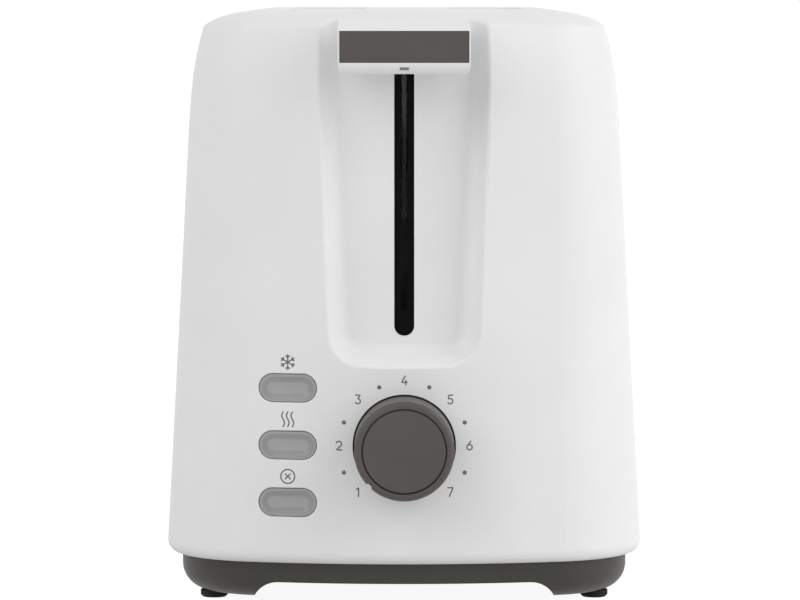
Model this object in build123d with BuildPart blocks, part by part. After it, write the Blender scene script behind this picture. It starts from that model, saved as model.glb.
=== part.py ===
"""Two-slot toaster, in millimetres: moulded shell on a dark base, steel heating chamber, bread carriage with
lever, browning dial, three push buttons and crumb tray. +Z is up, the lever end faces -Y, and the origin is
on the table under the middle of the whole toaster."""

import math
import os

from build123d import *

# Shell, the white moulding
shell_width = 170.4
shell_length = 277.5
shell_bottom = 15.5
rim_height = 200.0
crest_height = 205.5
shell_wall = 2.5
rim_inset = 13.4
dome_width = 20.5
end_bulge = 17.0
side_bulge = 3.0
corner_radius = 38.0
skirt_radius = 4.0
rim_radius = 2.0
lip_inset = 5.5
lip_height = 4.0
# Levels of the walls as shares of their height and inset, and of the dome as shares of its rise and width
wall_shares = ((0.0, 0.0), (0.82, 0.61), (0.875, 0.668), (0.93, 0.769), (0.967, 0.877), (1.0, 1.0))
dome_shares = ((0.53, 0.30), (0.83, 0.66), (1.0, 1.0))

# Lever recess in the front of the shell
recess_depth = 6.0
recess_lean = 2.65
recess_taper = 25.0
recess_top_half_width = 26.6
recess_bottom_half_width = 21.4
recess_bottom = 87.9
recess_corner_radius = 7.2
recess_floor_radius = 5.0
recess_edge_radius = 1.5
lever_slot_width = 6.9
lever_slot_bottom = 93.3
lever_slot_top = 197.5

# Shield behind the lever slot, with a slit for the lever arm
shield_half_width = 12.0
shield_thickness = 1.0
shield_bottom = 88.0
shield_top = 196.5
shield_slit_gap = 0.4
shield_slit_margin = 1.5
shield_pin_radius = 1.2
shield_pin_length = 1.5
shield_pin_x = 8.0
shield_pin_heights = (112.0, 178.0)

# Bread slots
slot_spacing = 58.0
slot_width = 29.0
slot_length = 148.0
slot_corner_radius = 4.0
slot_edge_radius = 1.2

# Fits and cuts
overrun = 15.0
touch = 0.05
seat_gap = 0.3
slide_gap = 0.2
pin_gap = 0.05

# Browning dial
dial_height = 56.4
dial_reach = 16.5
dial_radius = 17.1
dial_face_radius = 17.0
dial_face_thickness = 4.2
dial_wall = 2.2
dial_edge_radius = 1.6
dial_pocket_radius = 17.7
dial_pocket_depth = 2.2
dial_pocket_gap = 0.4
dial_hub_radius = 5.5
dial_shaft_radius = 3.0
dial_shaft_flat = 0.8
dial_shaft_hole_radius = 4.5
dial_cap_radius = 14.2
dial_cap_thickness = 1.8
dial_cap_edge = 0.35
dial_notch_radius = 1.2
dial_notch_offset = 16.9
dial_notch_angle = 225.0

# Push buttons, top to bottom
button_names = ("defrost_button", "reheat_button", "stop_button")
button_column = -40.0
button_pitch = 19.6
button_length = 19.6
button_height = 9.4
button_gap = 0.25
button_sink = 0.35
button_travel = 2.0
button_flange_setback = 13.5
button_flange_thickness = 1.2
button_flange_margin = 1.3
button_stem_radius = 2.4
button_dish_margin = 0.9
button_dish_depth = 0.8
button_hole_edge = 0.3

# Base, the dark moulding
base_inset = 5.4
base_wall = 2.5
base_floor = 2.5
base_edge_radius = 9.0
base_rim_inset = 5.8
base_rim_height = 3.0
arch_top = 8.4
arch_half_width = 52.5
arch_half_length = 74.0
arch_radius = 9.0
vent_length = 46.0
vent_width = 3.0
vent_pitch = 7.0
vent_count = 4

# Rubber feet
foot_height = 2.5
foot_radius = 4.8
foot_edge = 0.8
foot_stem_radius = 2.5
foot_stem_length = 4.0
foot_inset = 18.6
foot_setback = 37.0

# Screws through the base into the shell's columns
boss_inset = 16.25
boss_setback = 92.0
boss_radius = 5.0
boss_top = 46.0
base_boss_top = 20.0
boss_rib_thickness = 2.0
screw_radius = 1.75
screw_pilot_radius = 1.8
screw_clearance_radius = 2.0
screw_head_radius = 3.2
screw_head_height = 2.4
screw_recess_radius = 3.6
screw_recess_depth = 6.0
screw_length = 26.0
screw_slot_width = 0.9
screw_slot_depth = 1.1

# Cord gland in the rear wall
gland_x = -46.0
gland_height = 32.0
gland_bore_radius = 3.6
gland_neck_radius = 5.4
gland_flange_radius = 8.0
gland_flange_thickness = 2.0
gland_pocket_radius = 9.0
gland_pocket_setback = 9.6
gland_sleeve_radius = 5.0
gland_sleeve_length = 6.0
gland_collar_radius = 7.0
gland_collar_thickness = 1.5
gland_edge = 0.6

# Heating chamber: end plates, reflectors and slot frame
chamber_length = 152.0
plate_thickness = 0.8
plate_half_width = 60.0
chassis_bottom = 18.0
chassis_top = 190.0
plate_foot_x = 57.0
plate_foot_width = 8.0
plate_foot_length = 9.0
plate_foot_inset = 0.5
pad_margin = 1.0
plate_screw_radius = 1.4
plate_screw_head_radius = 2.6
plate_screw_head_height = 1.8
plate_screw_length = 5.0
reflector_x = 56.5
reflector_thickness = 0.5
reflector_lip = 3.0
reflector_margin = 2.0
frame_thickness = 0.6
frame_half_width = 58.0
frame_collar_top = 203.4
frame_slot_width = 27.2
frame_slot_length = 146.0

# Heater boards and their windings
outer_heater_x = 52.0
board_thickness = 0.8
board_bottom = 54.0
board_top = 172.0
board_end_gap = 7.5
board_tab_height = 6.0
board_tab_gap = 0.2
board_tab_length = 0.7
heater_wire_radius = 0.45
heater_wire_gap = 0.45
heater_loops = 6
heater_end_margin = 11.0

# Bread guards, hinged wire grids beside each slot
guard_offset = 14.6
guard_pivot_height = 44.0
guard_top_height = 180.0
guard_pin_radius = 1.2
guard_rail_radius = 1.0
guard_wire_radius = 0.8
guard_wire_count = 9
guard_wire_sides = 6
guard_lean = 3.2
guard_pin_reach = 1.2
guard_slot_clearance = 0.5

# Carriage: racks, slide plate, bush, lever arm and armature
lever_travel = 84.0
rack_bottom = 132.0
rack_height = 8.0
rack_thickness = 1.2
rack_half_width = 9.0
rack_rise = 2.0
rack_finger_width = 2.5
rack_finger_thickness = 1.2
rack_finger_count = 7
rack_finger_pitch = 20.0
rack_slot_width = 2.6
rack_slot_margin = 4.0
rack_rear_reach = 2.0
slide_plate_setback = 3.2
slide_plate_thickness = 1.2
slide_plate_half_width = 34.0
slide_plate_height = 18.0
bush_x = 16.0
bush_half_width = 5.0
bush_depth = 10.0
rod_radius = 2.5
arm_thickness = 1.6
arm_bar_bottom = 187.5
arm_bar_height = 8.0
arm_post_depth = 11.0
armature_x = -26.0
armature_width = 14.0
armature_depth = 13.0
armature_thickness = 2.0
spring_tab_width = 8.0
spring_tab_depth = 10.0
spring_tab_thickness = 1.5

# Lever handle
handle_width = 45.0
handle_back_gap = 7.8
handle_depth = 18.6
handle_bottom = 183.2
handle_heel = 186.0
handle_brow = 198.8
handle_crown = 202.5
handle_chin_radius = 4.0
handle_brow_radius = 1.2
handle_end_radius = 3.4
handle_socket_depth = 12.0
insert_width = 43.8
insert_height = 10.6
insert_bottom = 187.8
insert_depth = 1.6
insert_gap = 0.1
insert_corner_radius = 0.6
insert_edge_radius = 0.4
snap_window_width = 3.2
snap_window_height = 1.0
snap_window_bottom = 185.2
snap_window_depth = 3.0

# Guide rod, brackets and return spring
bracket_thickness = 1.5
bracket_depth = 16.0
upper_bracket_top = 176.0
upper_bracket_drop = 16.0
upper_bracket_left = -20.0
upper_bracket_right = 24.0
upper_bracket_notch = 9.0
upper_bracket_web = 2.4
lower_bracket_top = 37.5
lower_bracket_drop = 13.0
lower_bracket_half_width = 8.0
rod_tail = 1.5
rod_head = 3.0
spring_x = -11.0
spring_radius = 3.2
spring_wire_radius = 0.45
spring_turns = 6

# Holding magnet, mains switch, control board
magnet_pole_radius = 4.0
magnet_pole_gap = 0.3
magnet_foot_bottom = 24.0
magnet_foot_thickness = 2.0
magnet_foot_half_width = 9.0
magnet_foot_flange = 12.0
coil_radius = 8.2
coil_end_gap = 2.0
mains_switch_x = -46.0
mains_switch_width = 15.0
mains_switch_depth = 13.0
mains_switch_bottom = 24.0
mains_switch_height = 15.0
switch_leaf_width = 3.0
switch_leaf_thickness = 0.6
switch_leaf_height = 6.0
circuit_setback = 28.9
circuit_thickness = 1.6
circuit_left = -53.0
circuit_right = 27.0
circuit_bottom = 22.0
circuit_top = 88.0
circuit_seat_depth = 3.0
circuit_seat_gap = 0.1
post_width = 4.0
post_depth = 8.0
post_margin = 7.0
tact_size = 6.0
tact_height = 5.0
pot_size = 17.0
pot_depth = 8.0
pot_edge = 1.5

# Crumb tray
tray_half_width = 49.0
tray_height = 4.0
tray_sheet = 0.6
tray_corner_radius = 4.0
tray_front_gap = 2.0
tray_handle_depth = 9.0
tray_handle_half_width = 52.0
tray_handle_gap = 0.4
tray_grip_radius = 6.0
tray_grip_width = 46.0
tray_grip_drop = 3.4

# Places that follow from the sizes above
end_bow = ((shell_width / 2 - side_bulge) ** 2 + end_bulge**2) / (2 * end_bulge)
side_bow = ((shell_length / 2 - end_bulge) ** 2 + side_bulge**2) / (2 * side_bulge)
body_y = dial_reach / 2
front_y = body_y - shell_length / 2
rear_y = body_y + shell_length / 2
base_rear = rear_y - base_inset
base_floor_top = arch_top + base_floor
chamber_front = body_y - chamber_length / 2
chamber_rear = body_y + chamber_length / 2
plate_front = chamber_front - plate_thickness
plate_rear = chamber_rear + plate_thickness
slot_x = slot_spacing / 2
recess_floor_y = front_y + rim_inset + recess_depth
boss_x = shell_width / 2 - boss_inset
foot_x = shell_width / 2 - foot_inset
slide_plate_back = plate_front - slide_plate_setback
slide_plate_front = slide_plate_back - slide_plate_thickness
rod_y = slide_plate_front - bush_depth / 2
board_face = front_y + circuit_setback
button_heights = tuple(dial_height + button_pitch * (1 - step) for step in range(len(button_names)))

os.makedirs("parts", exist_ok=True)


def save(piece, label):
    """Names a finished piece and writes it as one STEP file."""
    piece.part.label = label
    export_step(piece.part, f"parts/{label}.step")
    print(label, "solids", len(piece.part.solids()), "volume", round(piece.part.volume, 1))


def facing_front(y):
    """Vertical plane at depth y whose normal points to the front, with its own x along X and y along Z."""
    return Plane.XZ.offset(-y)


def body_levels(depth):
    """Height and inset of each level of the body, from the skirt to the crest, taken in by a depth."""
    levels = [(level * (rim_height - shell_bottom), inset * rim_inset) for level, inset in wall_shares]
    for rise, inset in dome_shares:
        height = rim_height - shell_bottom + rise * (crest_height - rim_height)
        levels.append((height, rim_inset + inset * dome_width))
    squeeze = 1 - depth / (crest_height - shell_bottom)
    return [(shell_bottom + squeeze * height, inset + depth) for height, inset in levels]


def front_face_y(x, height):
    """Depth of the shell's outer front face at a point of its straight lower wall."""
    (low, inset_low), (high, inset_high) = body_levels(0)[:2]
    inset = inset_low + (inset_high - inset_low) * (height - low) / (high - low)
    return front_y + end_bow - math.sqrt((end_bow - inset) ** 2 - x**2)


def front_face_plane(x, height):
    """Plane that touches the shell's front face at a point of its straight lower wall, with z outwards."""
    (low, inset_low), (high, inset_high) = body_levels(0)[:2]
    y = front_face_y(x, height)
    turn = math.atan2(x, front_y + end_bow - y)
    lean = math.atan2(inset_high - inset_low, high - low)
    normal = (math.sin(turn) * math.cos(lean), -math.cos(turn) * math.cos(lean), math.sin(lean))
    return Plane(origin=(x, y, height), x_dir=(math.cos(turn), math.sin(turn), 0), z_dir=normal)


def outline(height, inset):
    """Plan outline of the body at a height, taken in by an inset: four bowed sides with rounded corners."""
    half_width = shell_width / 2 - inset
    half_length = shell_length / 2 - inset
    # Corner where the end bow and the side bow cross, from the centres of both circles
    end_centre = half_length - (end_bow - inset)
    side_centre = half_width - (side_bow - inset)
    apart = math.hypot(end_centre, side_centre)
    along = ((end_bow - inset) ** 2 - (side_bow - inset) ** 2 + apart**2) / (2 * apart)
    across = math.sqrt((end_bow - inset) ** 2 - along**2)
    corner_x = (along * side_centre + across * end_centre) / apart
    corner_y = end_centre + (across * side_centre - along * end_centre) / apart
    if corner_y < 0:
        corner_x = (along * side_centre - across * end_centre) / apart
        corner_y = end_centre - (across * side_centre + along * end_centre) / apart
    with BuildSketch(Plane(origin=(0, body_y, height))) as level:
        with BuildLine():
            ThreePointArc((-corner_x, -corner_y), (0, -half_length), (corner_x, -corner_y))
            ThreePointArc((corner_x, -corner_y), (half_width, 0), (corner_x, corner_y))
            ThreePointArc((corner_x, corner_y), (0, half_length), (-corner_x, corner_y))
            ThreePointArc((-corner_x, corner_y), (-half_width, 0), (-corner_x, -corner_y))
        make_face()
        fillet(level.vertices(), corner_radius - inset)
    return level.sketch


def body_block(depth):
    """Solid form of the body, taken in by a depth: tapered walls, shoulder and low dome."""
    levels = body_levels(depth)
    (low, inset_low), (high, inset_high) = levels[:2]
    lean = math.degrees(math.atan2(inset_high - inset_low, high - low))
    rim = len(wall_shares)
    with BuildPart() as block:
        extrude(outline(low, inset_low), amount=high - low, taper=lean)
        loft([outline(height, inset) for height, inset in levels[1:rim]])
        loft([outline(height, inset) for height, inset in levels[rim - 1 :]])
    return block.part


def recess_plane(depth):
    """Plane of the recess's floor, sunk by a depth, with its origin at the rim's height and z outwards."""
    lean = math.radians(recess_lean)
    normal = Vector(0, -math.cos(lean), math.sin(lean))
    floor_point = Vector(0, recess_floor_y, rim_height) - normal * depth
    return Plane(origin=floor_point, x_dir=(1, 0, 0), z_dir=normal)


def recess_block(depth):
    """Lever recess as a solid, grown by a depth: drafted walls, rounded floor edges, open at the top."""
    drop = rim_height - recess_bottom
    slope = (recess_top_half_width - recess_bottom_half_width) / drop
    top = recess_top_half_width + slope * overrun + depth
    bottom = recess_bottom_half_width + depth
    with BuildPart() as block:
        with BuildSketch(recess_plane(depth)):
            with BuildLine():
                FilletPolyline(
                    (-top, overrun),
                    (-bottom, -drop - depth),
                    (bottom, -drop - depth),
                    (top, overrun),
                    radius=recess_corner_radius + depth,
                )
                Line((top, overrun), (-top, overrun))
            make_face()
        extrude(amount=3 * overrun, taper=-recess_taper)
        floor_edges = block.faces().sort_by(Axis.Y)[-1].edges().sort_by(Axis.Z)
        fillet(floor_edges[:-1], recess_floor_radius + depth)
    return block.part


def shared_edges(edges, one_skin, other_skin):
    """Edges whose middle lies on both of two surfaces."""
    on_one = [edge for edge in edges if one_skin.distance_to(edge.position_at(0.5)) < touch]
    return [edge for edge in on_one if other_skin.distance_to(edge.position_at(0.5)) < touch]


def shell_cavity():
    """Room inside the shell: the body taken in by the wall, less the recess, with a narrower mouth."""
    with BuildPart() as room:
        add(body_block(shell_wall))
        split(bisect_by=Plane.XY.offset(shell_bottom + lip_height), keep=Keep.TOP)
        extrude(outline(shell_bottom - overrun, lip_inset), amount=overrun + lip_height)
        add(recess_block(shell_wall), mode=Mode.SUBTRACT)
    return room.part


def wall_seats():
    """Thick places inside the walls: seats behind the dial and the cord gland, and four screw columns."""
    with BuildPart() as seats:
        with BuildSketch(facing_front(dial_seat_y + shell_wall)):
            with Locations((0, dial_height)):
                Circle(dial_pocket_radius + shell_wall)
        extrude(amount=overrun)
        with BuildSketch(facing_front(gland_seat_y - shell_wall)):
            with Locations((gland_x, gland_height)):
                Circle(gland_pocket_radius + shell_wall)
        extrude(amount=-overrun)
        with BuildSketch(Plane.XY.offset(base_boss_top)):
            with Locations(*screw_places):
                Circle(boss_radius)
            for x, y in screw_places:
                with Locations((x + math.copysign(overrun / 2, x), y)):
                    Rectangle(overrun, boss_rib_thickness)
        extrude(amount=boss_top - base_boss_top)
        add(body_block(shell_wall / 2), mode=Mode.INTERSECT)
    return seats.part


dial_seat_y = front_face_y(0, dial_height) + dial_pocket_depth
gland_seat_y = rear_y - gland_pocket_setback
screw_rows = (front_y + boss_setback, rear_y - boss_setback)
screw_places = [(side * boss_x, y) for side in (-1, 1) for y in screw_rows]
foot_rows = (front_y + foot_setback, rear_y - foot_setback)
foot_places = [(side * foot_x, y) for side in (-1, 1) for y in foot_rows]
shield_pin_rows = [height - rim_height for height in shield_pin_heights]
shield_pin_places = [(side * shield_pin_x, row) for side in (-1, 1) for row in shield_pin_rows]

# Body shell
with BuildPart() as body_shell:
    add(body_block(0))
    fillet(body_shell.edges().group_by(Axis.Z)[0], skirt_radius)
    fillet(body_shell.edges().filter_by_position(Axis.Z, rim_height - touch, rim_height + touch), rim_radius)
    skin = body_shell.part.shells()[0]
    add(recess_block(0), mode=Mode.SUBTRACT)
    fillet(shared_edges(body_shell.edges(), skin, recess_block(0).shells()[0]), recess_edge_radius)
    add(shell_cavity(), mode=Mode.SUBTRACT)
    add(wall_seats())
    with BuildSketch(Plane.XY.offset(crest_height)):
        with Locations((-slot_x, body_y), (slot_x, body_y)):
            RectangleRounded(slot_width, slot_length, slot_corner_radius)
    extrude(amount=-overrun, mode=Mode.SUBTRACT)
    fillet(body_shell.edges(Select.LAST).group_by(Axis.Z)[-1], slot_edge_radius)
    with BuildSketch(facing_front(recess_floor_y + overrun)):
        with Locations((0, (lever_slot_bottom + lever_slot_top) / 2)):
            SlotOverall(lever_slot_top - lever_slot_bottom, lever_slot_width, rotation=90)
    extrude(amount=2 * overrun, mode=Mode.SUBTRACT)
    with BuildSketch(recess_plane(shell_wall)):
        with Locations(*shield_pin_places):
            Circle(shield_pin_radius + pin_gap)
    extrude(amount=shield_pin_length + slide_gap, mode=Mode.SUBTRACT)
    with BuildSketch(facing_front(dial_seat_y)):
        with Locations((0, dial_height)):
            Circle(dial_pocket_radius)
    extrude(amount=overrun, mode=Mode.SUBTRACT)
    with BuildSketch(facing_front(dial_seat_y + overrun)):
        with Locations((0, dial_height)):
            Circle(dial_shaft_hole_radius)
    extrude(amount=2 * overrun, mode=Mode.SUBTRACT)
    with BuildSketch(facing_front(front_y + overrun)):
        with Locations(*[(button_column, height) for height in button_heights]):
            SlotOverall(button_length + 2 * button_gap, button_height + 2 * button_gap)
    extrude(amount=2 * overrun, mode=Mode.SUBTRACT)
    hole_edges = [edge for edge in body_shell.edges(Select.LAST) if skin.distance_to(edge.center()) < touch]
    chamfer(hole_edges, button_hole_edge)
    with BuildSketch(facing_front(gland_seat_y)):
        with Locations((gland_x, gland_height)):
            Circle(gland_pocket_radius)
    extrude(amount=-overrun, mode=Mode.SUBTRACT)
    with BuildSketch(facing_front(gland_seat_y + overrun)):
        with Locations((gland_x, gland_height)):
            Circle(gland_neck_radius + slide_gap)
    extrude(amount=2 * overrun, mode=Mode.SUBTRACT)
    with BuildSketch(Plane.XY.offset(base_boss_top)):
        with Locations(*screw_places):
            Circle(screw_pilot_radius)
    extrude(amount=screw_length, mode=Mode.SUBTRACT)
save(body_shell, "body_shell")
dial_front = -body_shell.part.bounding_box().max.Y

# Shield on four pins behind the lever slot, open at the top so that it goes on over the lever arm
slit_width = arm_thickness + 2 * shield_slit_gap
slit_bottom = arm_bar_bottom - lever_travel - shield_slit_margin
with BuildPart() as slot_shield:
    with BuildSketch(recess_plane(shell_wall)):
        hanging = (Align.CENTER, Align.MAX)
        with Locations((0, shield_top - rim_height)):
            Rectangle(2 * shield_half_width, shield_top - shield_bottom, align=hanging)
            Rectangle(slit_width, shield_top - slit_bottom, align=hanging, mode=Mode.SUBTRACT)
    extrude(amount=-shield_thickness)
    with BuildSketch(recess_plane(shell_wall)):
        with Locations(*shield_pin_places):
            Circle(shield_pin_radius)
    extrude(amount=shield_pin_length)
save(slot_shield, "slot_shield")

# Base
with BuildPart() as base:
    extrude(outline(foot_height, base_inset), amount=shell_bottom - foot_height)
    fillet(base.edges().group_by(Axis.Z)[0], base_edge_radius)
    extrude(outline(shell_bottom, base_rim_inset), amount=base_rim_height)
    cavity_inset = base_inset + base_wall
    extrude(outline(base_floor_top, cavity_inset), amount=overrun, mode=Mode.SUBTRACT)
    # Arches between the legs, end to end and side to side
    with BuildSketch(facing_front(body_y)):
        with Locations((0, arch_top - arch_radius)):
            RectangleRounded(2 * arch_half_width, 2 * arch_radius, arch_radius - touch)
    extrude(amount=shell_length, both=True, mode=Mode.SUBTRACT)
    with BuildSketch(Plane.YZ):
        with Locations((body_y, arch_top - arch_radius)):
            RectangleRounded(2 * arch_half_length, 2 * arch_radius, arch_radius - touch)
    extrude(amount=shell_width, both=True, mode=Mode.SUBTRACT)
    # Opening for the crumb tray in the rear wall
    with BuildSketch(Plane.XY):
        with Locations((0, base_rear - tray_handle_depth - tray_handle_gap)):
            opening_width = 2 * (tray_handle_half_width + tray_handle_gap)
            Rectangle(opening_width, overrun + tray_handle_depth, align=(Align.CENTER, Align.MIN))
    extrude(amount=shell_bottom + base_rim_height, mode=Mode.SUBTRACT)
    # Columns under the shell's screw columns, pads for the end plates and posts for the control board
    with BuildSketch(Plane.XY.offset(arch_top)):
        with Locations(*screw_places):
            Circle(boss_radius)
    extrude(amount=base_boss_top - arch_top)
    with BuildSketch(Plane.XY.offset(base_floor_top)):
        pad_y = plate_foot_length / 2 - pad_margin
        for y in (plate_front - pad_y, plate_rear + pad_y):
            with Locations((-plate_foot_x, y), (plate_foot_x, y)):
                Rectangle(plate_foot_width, plate_foot_length + pad_margin)
    extrude(amount=chassis_bottom - base_floor_top)
    with BuildSketch(Plane.XY.offset(base_floor_top)):
        post_y = board_face + circuit_thickness / 2
        with Locations((circuit_left + post_margin, post_y), (circuit_right - post_margin, post_y)):
            Rectangle(post_width, post_depth)
    extrude(amount=circuit_bottom + circuit_seat_depth - base_floor_top)
    with BuildSketch(Plane.XY.offset(circuit_bottom)):
        with Locations((0, board_face + circuit_thickness / 2)):
            Rectangle(shell_width, circuit_thickness + 2 * circuit_seat_gap)
    extrude(amount=overrun, mode=Mode.SUBTRACT)
    # Holes: base screws, plate screws, feet and vents
    with Locations(*[Location((x, y, arch_top), (180, 0, 0)) for x, y in screw_places]):
        CounterBoreHole(screw_clearance_radius, screw_recess_radius, screw_recess_depth)
    with BuildSketch(Plane.XY.offset(chassis_bottom)):
        for y in (plate_front - plate_foot_length / 2, plate_rear + plate_foot_length / 2):
            with Locations((-plate_foot_x, y), (plate_foot_x, y)):
                Circle(plate_screw_radius + pin_gap)
    extrude(amount=-plate_screw_length - seat_gap, mode=Mode.SUBTRACT)
    with BuildSketch(Plane.XY.offset(foot_height)):
        with Locations(*foot_places):
            Circle(foot_stem_radius + pin_gap)
    extrude(amount=foot_stem_length + seat_gap, mode=Mode.SUBTRACT)
    with BuildSketch(Plane.XY.offset(arch_top)):
        with Locations((0, (front_y + base_inset + base_wall + board_face) / 2 + vent_pitch)):
            with GridLocations(vent_length + vent_pitch, vent_pitch, 2, 2):
                SlotOverall(vent_length, vent_width)
        with Locations((0, (chamber_front + board_face) / 2)):
            with GridLocations(vent_length + vent_pitch, vent_pitch, 2, vent_count - 1):
                SlotOverall(vent_length, vent_width)
    extrude(amount=base_floor, mode=Mode.SUBTRACT)
save(base, "base")

# Rubber feet
with BuildPart() as rubber_feet:
    with BuildSketch(Plane.XY):
        with Locations(*foot_places):
            Circle(foot_radius)
    extrude(amount=foot_height)
    chamfer(rubber_feet.edges().group_by(Axis.Z)[0], foot_edge)
    with BuildSketch(Plane.XY.offset(foot_height)):
        with Locations(*foot_places):
            Circle(foot_stem_radius)
    extrude(amount=foot_stem_length)
save(rubber_feet, "rubber_feet")

# Base screws
screw_seat = arch_top + screw_recess_depth
with BuildPart() as base_screws:
    with BuildSketch(Plane.XY.offset(screw_seat - screw_head_height)):
        with Locations(*screw_places):
            Circle(screw_head_radius)
    extrude(amount=screw_head_height)
    with BuildSketch(Plane.XY.offset(screw_seat)):
        with Locations(*screw_places):
            Circle(screw_radius)
    extrude(amount=screw_length)
    chamfer(base_screws.edges().group_by(Axis.Z)[-1], screw_radius / 2)
    with BuildSketch(Plane.XY.offset(screw_seat - screw_head_height)):
        with Locations(*screw_places):
            Rectangle(2 * screw_head_radius, screw_slot_width)
            Rectangle(screw_slot_width, 2 * screw_head_radius)
    extrude(amount=screw_slot_depth, mode=Mode.SUBTRACT)
save(base_screws, "base_screws")

# Cord gland: flange outside, neck through the wall, collar inside, sleeve around the cord's exit
with BuildPart() as cord_gland:
    for start, length, radius in (
        (0, gland_flange_thickness, gland_flange_radius),
        (gland_flange_thickness, gland_sleeve_length, gland_sleeve_radius),
        (0, -shell_wall - slide_gap, gland_neck_radius),
        (-shell_wall - slide_gap, -gland_collar_thickness, gland_collar_radius),
    ):
        with BuildSketch(facing_front(gland_seat_y + start)):
            with Locations((gland_x, gland_height)):
                Circle(radius)
        extrude(amount=-length)
    chamfer(cord_gland.edges().group_by(Axis.Y)[-1], gland_edge)
    with BuildSketch(facing_front(gland_seat_y + overrun)):
        with Locations((gland_x, gland_height)):
            Circle(gland_bore_radius)
    extrude(amount=2 * overrun, mode=Mode.SUBTRACT)
save(cord_gland, "cord_gland")

# Heating chamber
guard_columns = [side * (slot_x + offset) for side in (-1, 1) for offset in (-guard_offset, guard_offset)]
guard_leans = [-math.copysign(1, abs(x) - slot_x) * math.copysign(1, x) for x in guard_columns]
guard_swing = (guard_top_height - guard_pivot_height) * math.tan(math.radians(guard_lean))
heater_columns = (-outer_heater_x, 0, outer_heater_x)
board_middle = (board_bottom + board_top) / 2
board_tab_heights = (board_bottom + board_tab_height / 2, board_top - board_tab_height / 2)


def end_plate(inner_face, outward):
    """Steel end plate of the chamber with its rack slots, guard holes, board slots and two feet."""
    outer_face = inner_face + outward * plate_thickness
    slot_low = rack_bottom - lever_travel - rack_slot_margin
    slot_high = rack_bottom + rack_height + rack_slot_margin
    with BuildPart() as plate:
        with BuildSketch(facing_front(inner_face)):
            with Locations((0, (chassis_bottom + chassis_top) / 2)):
                Rectangle(2 * plate_half_width, chassis_top - chassis_bottom)
            with Locations((-slot_x, (slot_low + slot_high) / 2), (slot_x, (slot_low + slot_high) / 2)):
                Rectangle(rack_slot_width, slot_high - slot_low, mode=Mode.SUBTRACT)
            with Locations(*[(x, guard_pivot_height) for x in guard_columns]):
                Circle(guard_pin_radius + pin_gap, mode=Mode.SUBTRACT)
            rail_slot = 2 * (guard_rail_radius + guard_slot_clearance)
            for x, lean in zip(guard_columns, guard_leans):
                with Locations((x + lean * guard_swing / 2, guard_top_height)):
                    SlotOverall(guard_swing + rail_slot, rail_slot, mode=Mode.SUBTRACT)
            with Locations(*[(x, height) for x in heater_columns for height in board_tab_heights]):
                tab_slot_width = board_thickness + 2 * board_tab_gap
                Rectangle(tab_slot_width, board_tab_height + 2 * board_tab_gap, mode=Mode.SUBTRACT)
        extrude(amount=-outward * plate_thickness)
        with BuildSketch(Plane.XY.offset(chassis_bottom)):
            foot_y = outer_face + outward * plate_foot_length / 2
            foot_middle = plate_foot_x - plate_foot_inset
            with Locations((-foot_middle, foot_y), (foot_middle, foot_y)):
                Rectangle(plate_foot_width - 2 * plate_foot_inset, plate_foot_length)
            with Locations((-plate_foot_x, foot_y), (plate_foot_x, foot_y)):
                Circle(plate_screw_radius + pin_gap, mode=Mode.SUBTRACT)
        extrude(amount=plate_thickness)
    return plate


save(end_plate(chamber_front, -1), "front_chassis_plate")
save(end_plate(chamber_rear, 1), "rear_chassis_plate")

# Screws that hold the end plates to the base
plate_screw_places = [
    (side * plate_foot_x, y)
    for side in (-1, 1)
    for y in (plate_front - plate_foot_length / 2, plate_rear + plate_foot_length / 2)
]
with BuildPart() as chassis_screws:
    with BuildSketch(Plane.XY.offset(chassis_bottom + plate_thickness)):
        with Locations(*plate_screw_places):
            Circle(plate_screw_head_radius)
    extrude(amount=plate_screw_head_height)
    chamfer(chassis_screws.edges().group_by(Axis.Z)[-1], plate_screw_head_height / 3)
    with BuildSketch(Plane.XY.offset(chassis_bottom + plate_thickness)):
        with Locations(*plate_screw_places):
            Circle(plate_screw_radius)
    extrude(amount=-plate_screw_length)
save(chassis_screws, "chassis_screws")


def reflector(side):
    """Side reflector: an upright sheet between the end plates with lips turned outwards."""
    low = chassis_bottom + reflector_margin
    high = chassis_top - reflector_margin
    inner = side * reflector_x
    outer = side * (reflector_x + reflector_thickness)
    lip = side * (reflector_x + reflector_lip)
    with BuildPart() as sheet:
        with BuildSketch(facing_front(chamber_rear)):
            with BuildLine():
                Polyline(
                    (inner, low),
                    (lip, low),
                    (lip, low + reflector_thickness),
                    (outer, low + reflector_thickness),
                    (outer, high - reflector_thickness),
                    (lip, high - reflector_thickness),
                    (lip, high),
                    (inner, high),
                    close=True,
                )
            make_face()
        extrude(amount=chamber_length)
    return sheet


save(reflector(-1), "left_reflector")
save(reflector(1), "right_reflector")

# Slot frame: steel sheet over the chamber with a collar up into each bread slot
collar_places = ((-slot_x, body_y), (slot_x, body_y))
with BuildPart() as slot_frame:
    with BuildSketch(Plane.XY.offset(chassis_top)):
        with Locations((0, body_y)):
            Rectangle(2 * frame_half_width, chamber_length + 2 * plate_thickness)
    extrude(amount=frame_thickness)
    with BuildSketch(Plane.XY.offset(chassis_top)):
        with Locations(*collar_places):
            RectangleRounded(
                frame_slot_width + 2 * frame_thickness,
                frame_slot_length + 2 * frame_thickness,
                slot_corner_radius,
            )
    extrude(amount=frame_collar_top - chassis_top)
    with BuildSketch(Plane.XY.offset(chassis_top)):
        with Locations(*collar_places):
            RectangleRounded(frame_slot_width, frame_slot_length, slot_corner_radius - frame_thickness)
    extrude(amount=frame_collar_top - chassis_top, mode=Mode.SUBTRACT)
save(slot_frame, "slot_frame")

# Heater boards and windings
winding_radius = board_thickness / 2 + heater_wire_gap + heater_wire_radius
winding_span = board_top - board_bottom - 2 * heater_end_margin
winding_step = winding_span / (2 * heater_loops - 1)
winding_reach = math.hypot(winding_radius, winding_step / 2)


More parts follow.
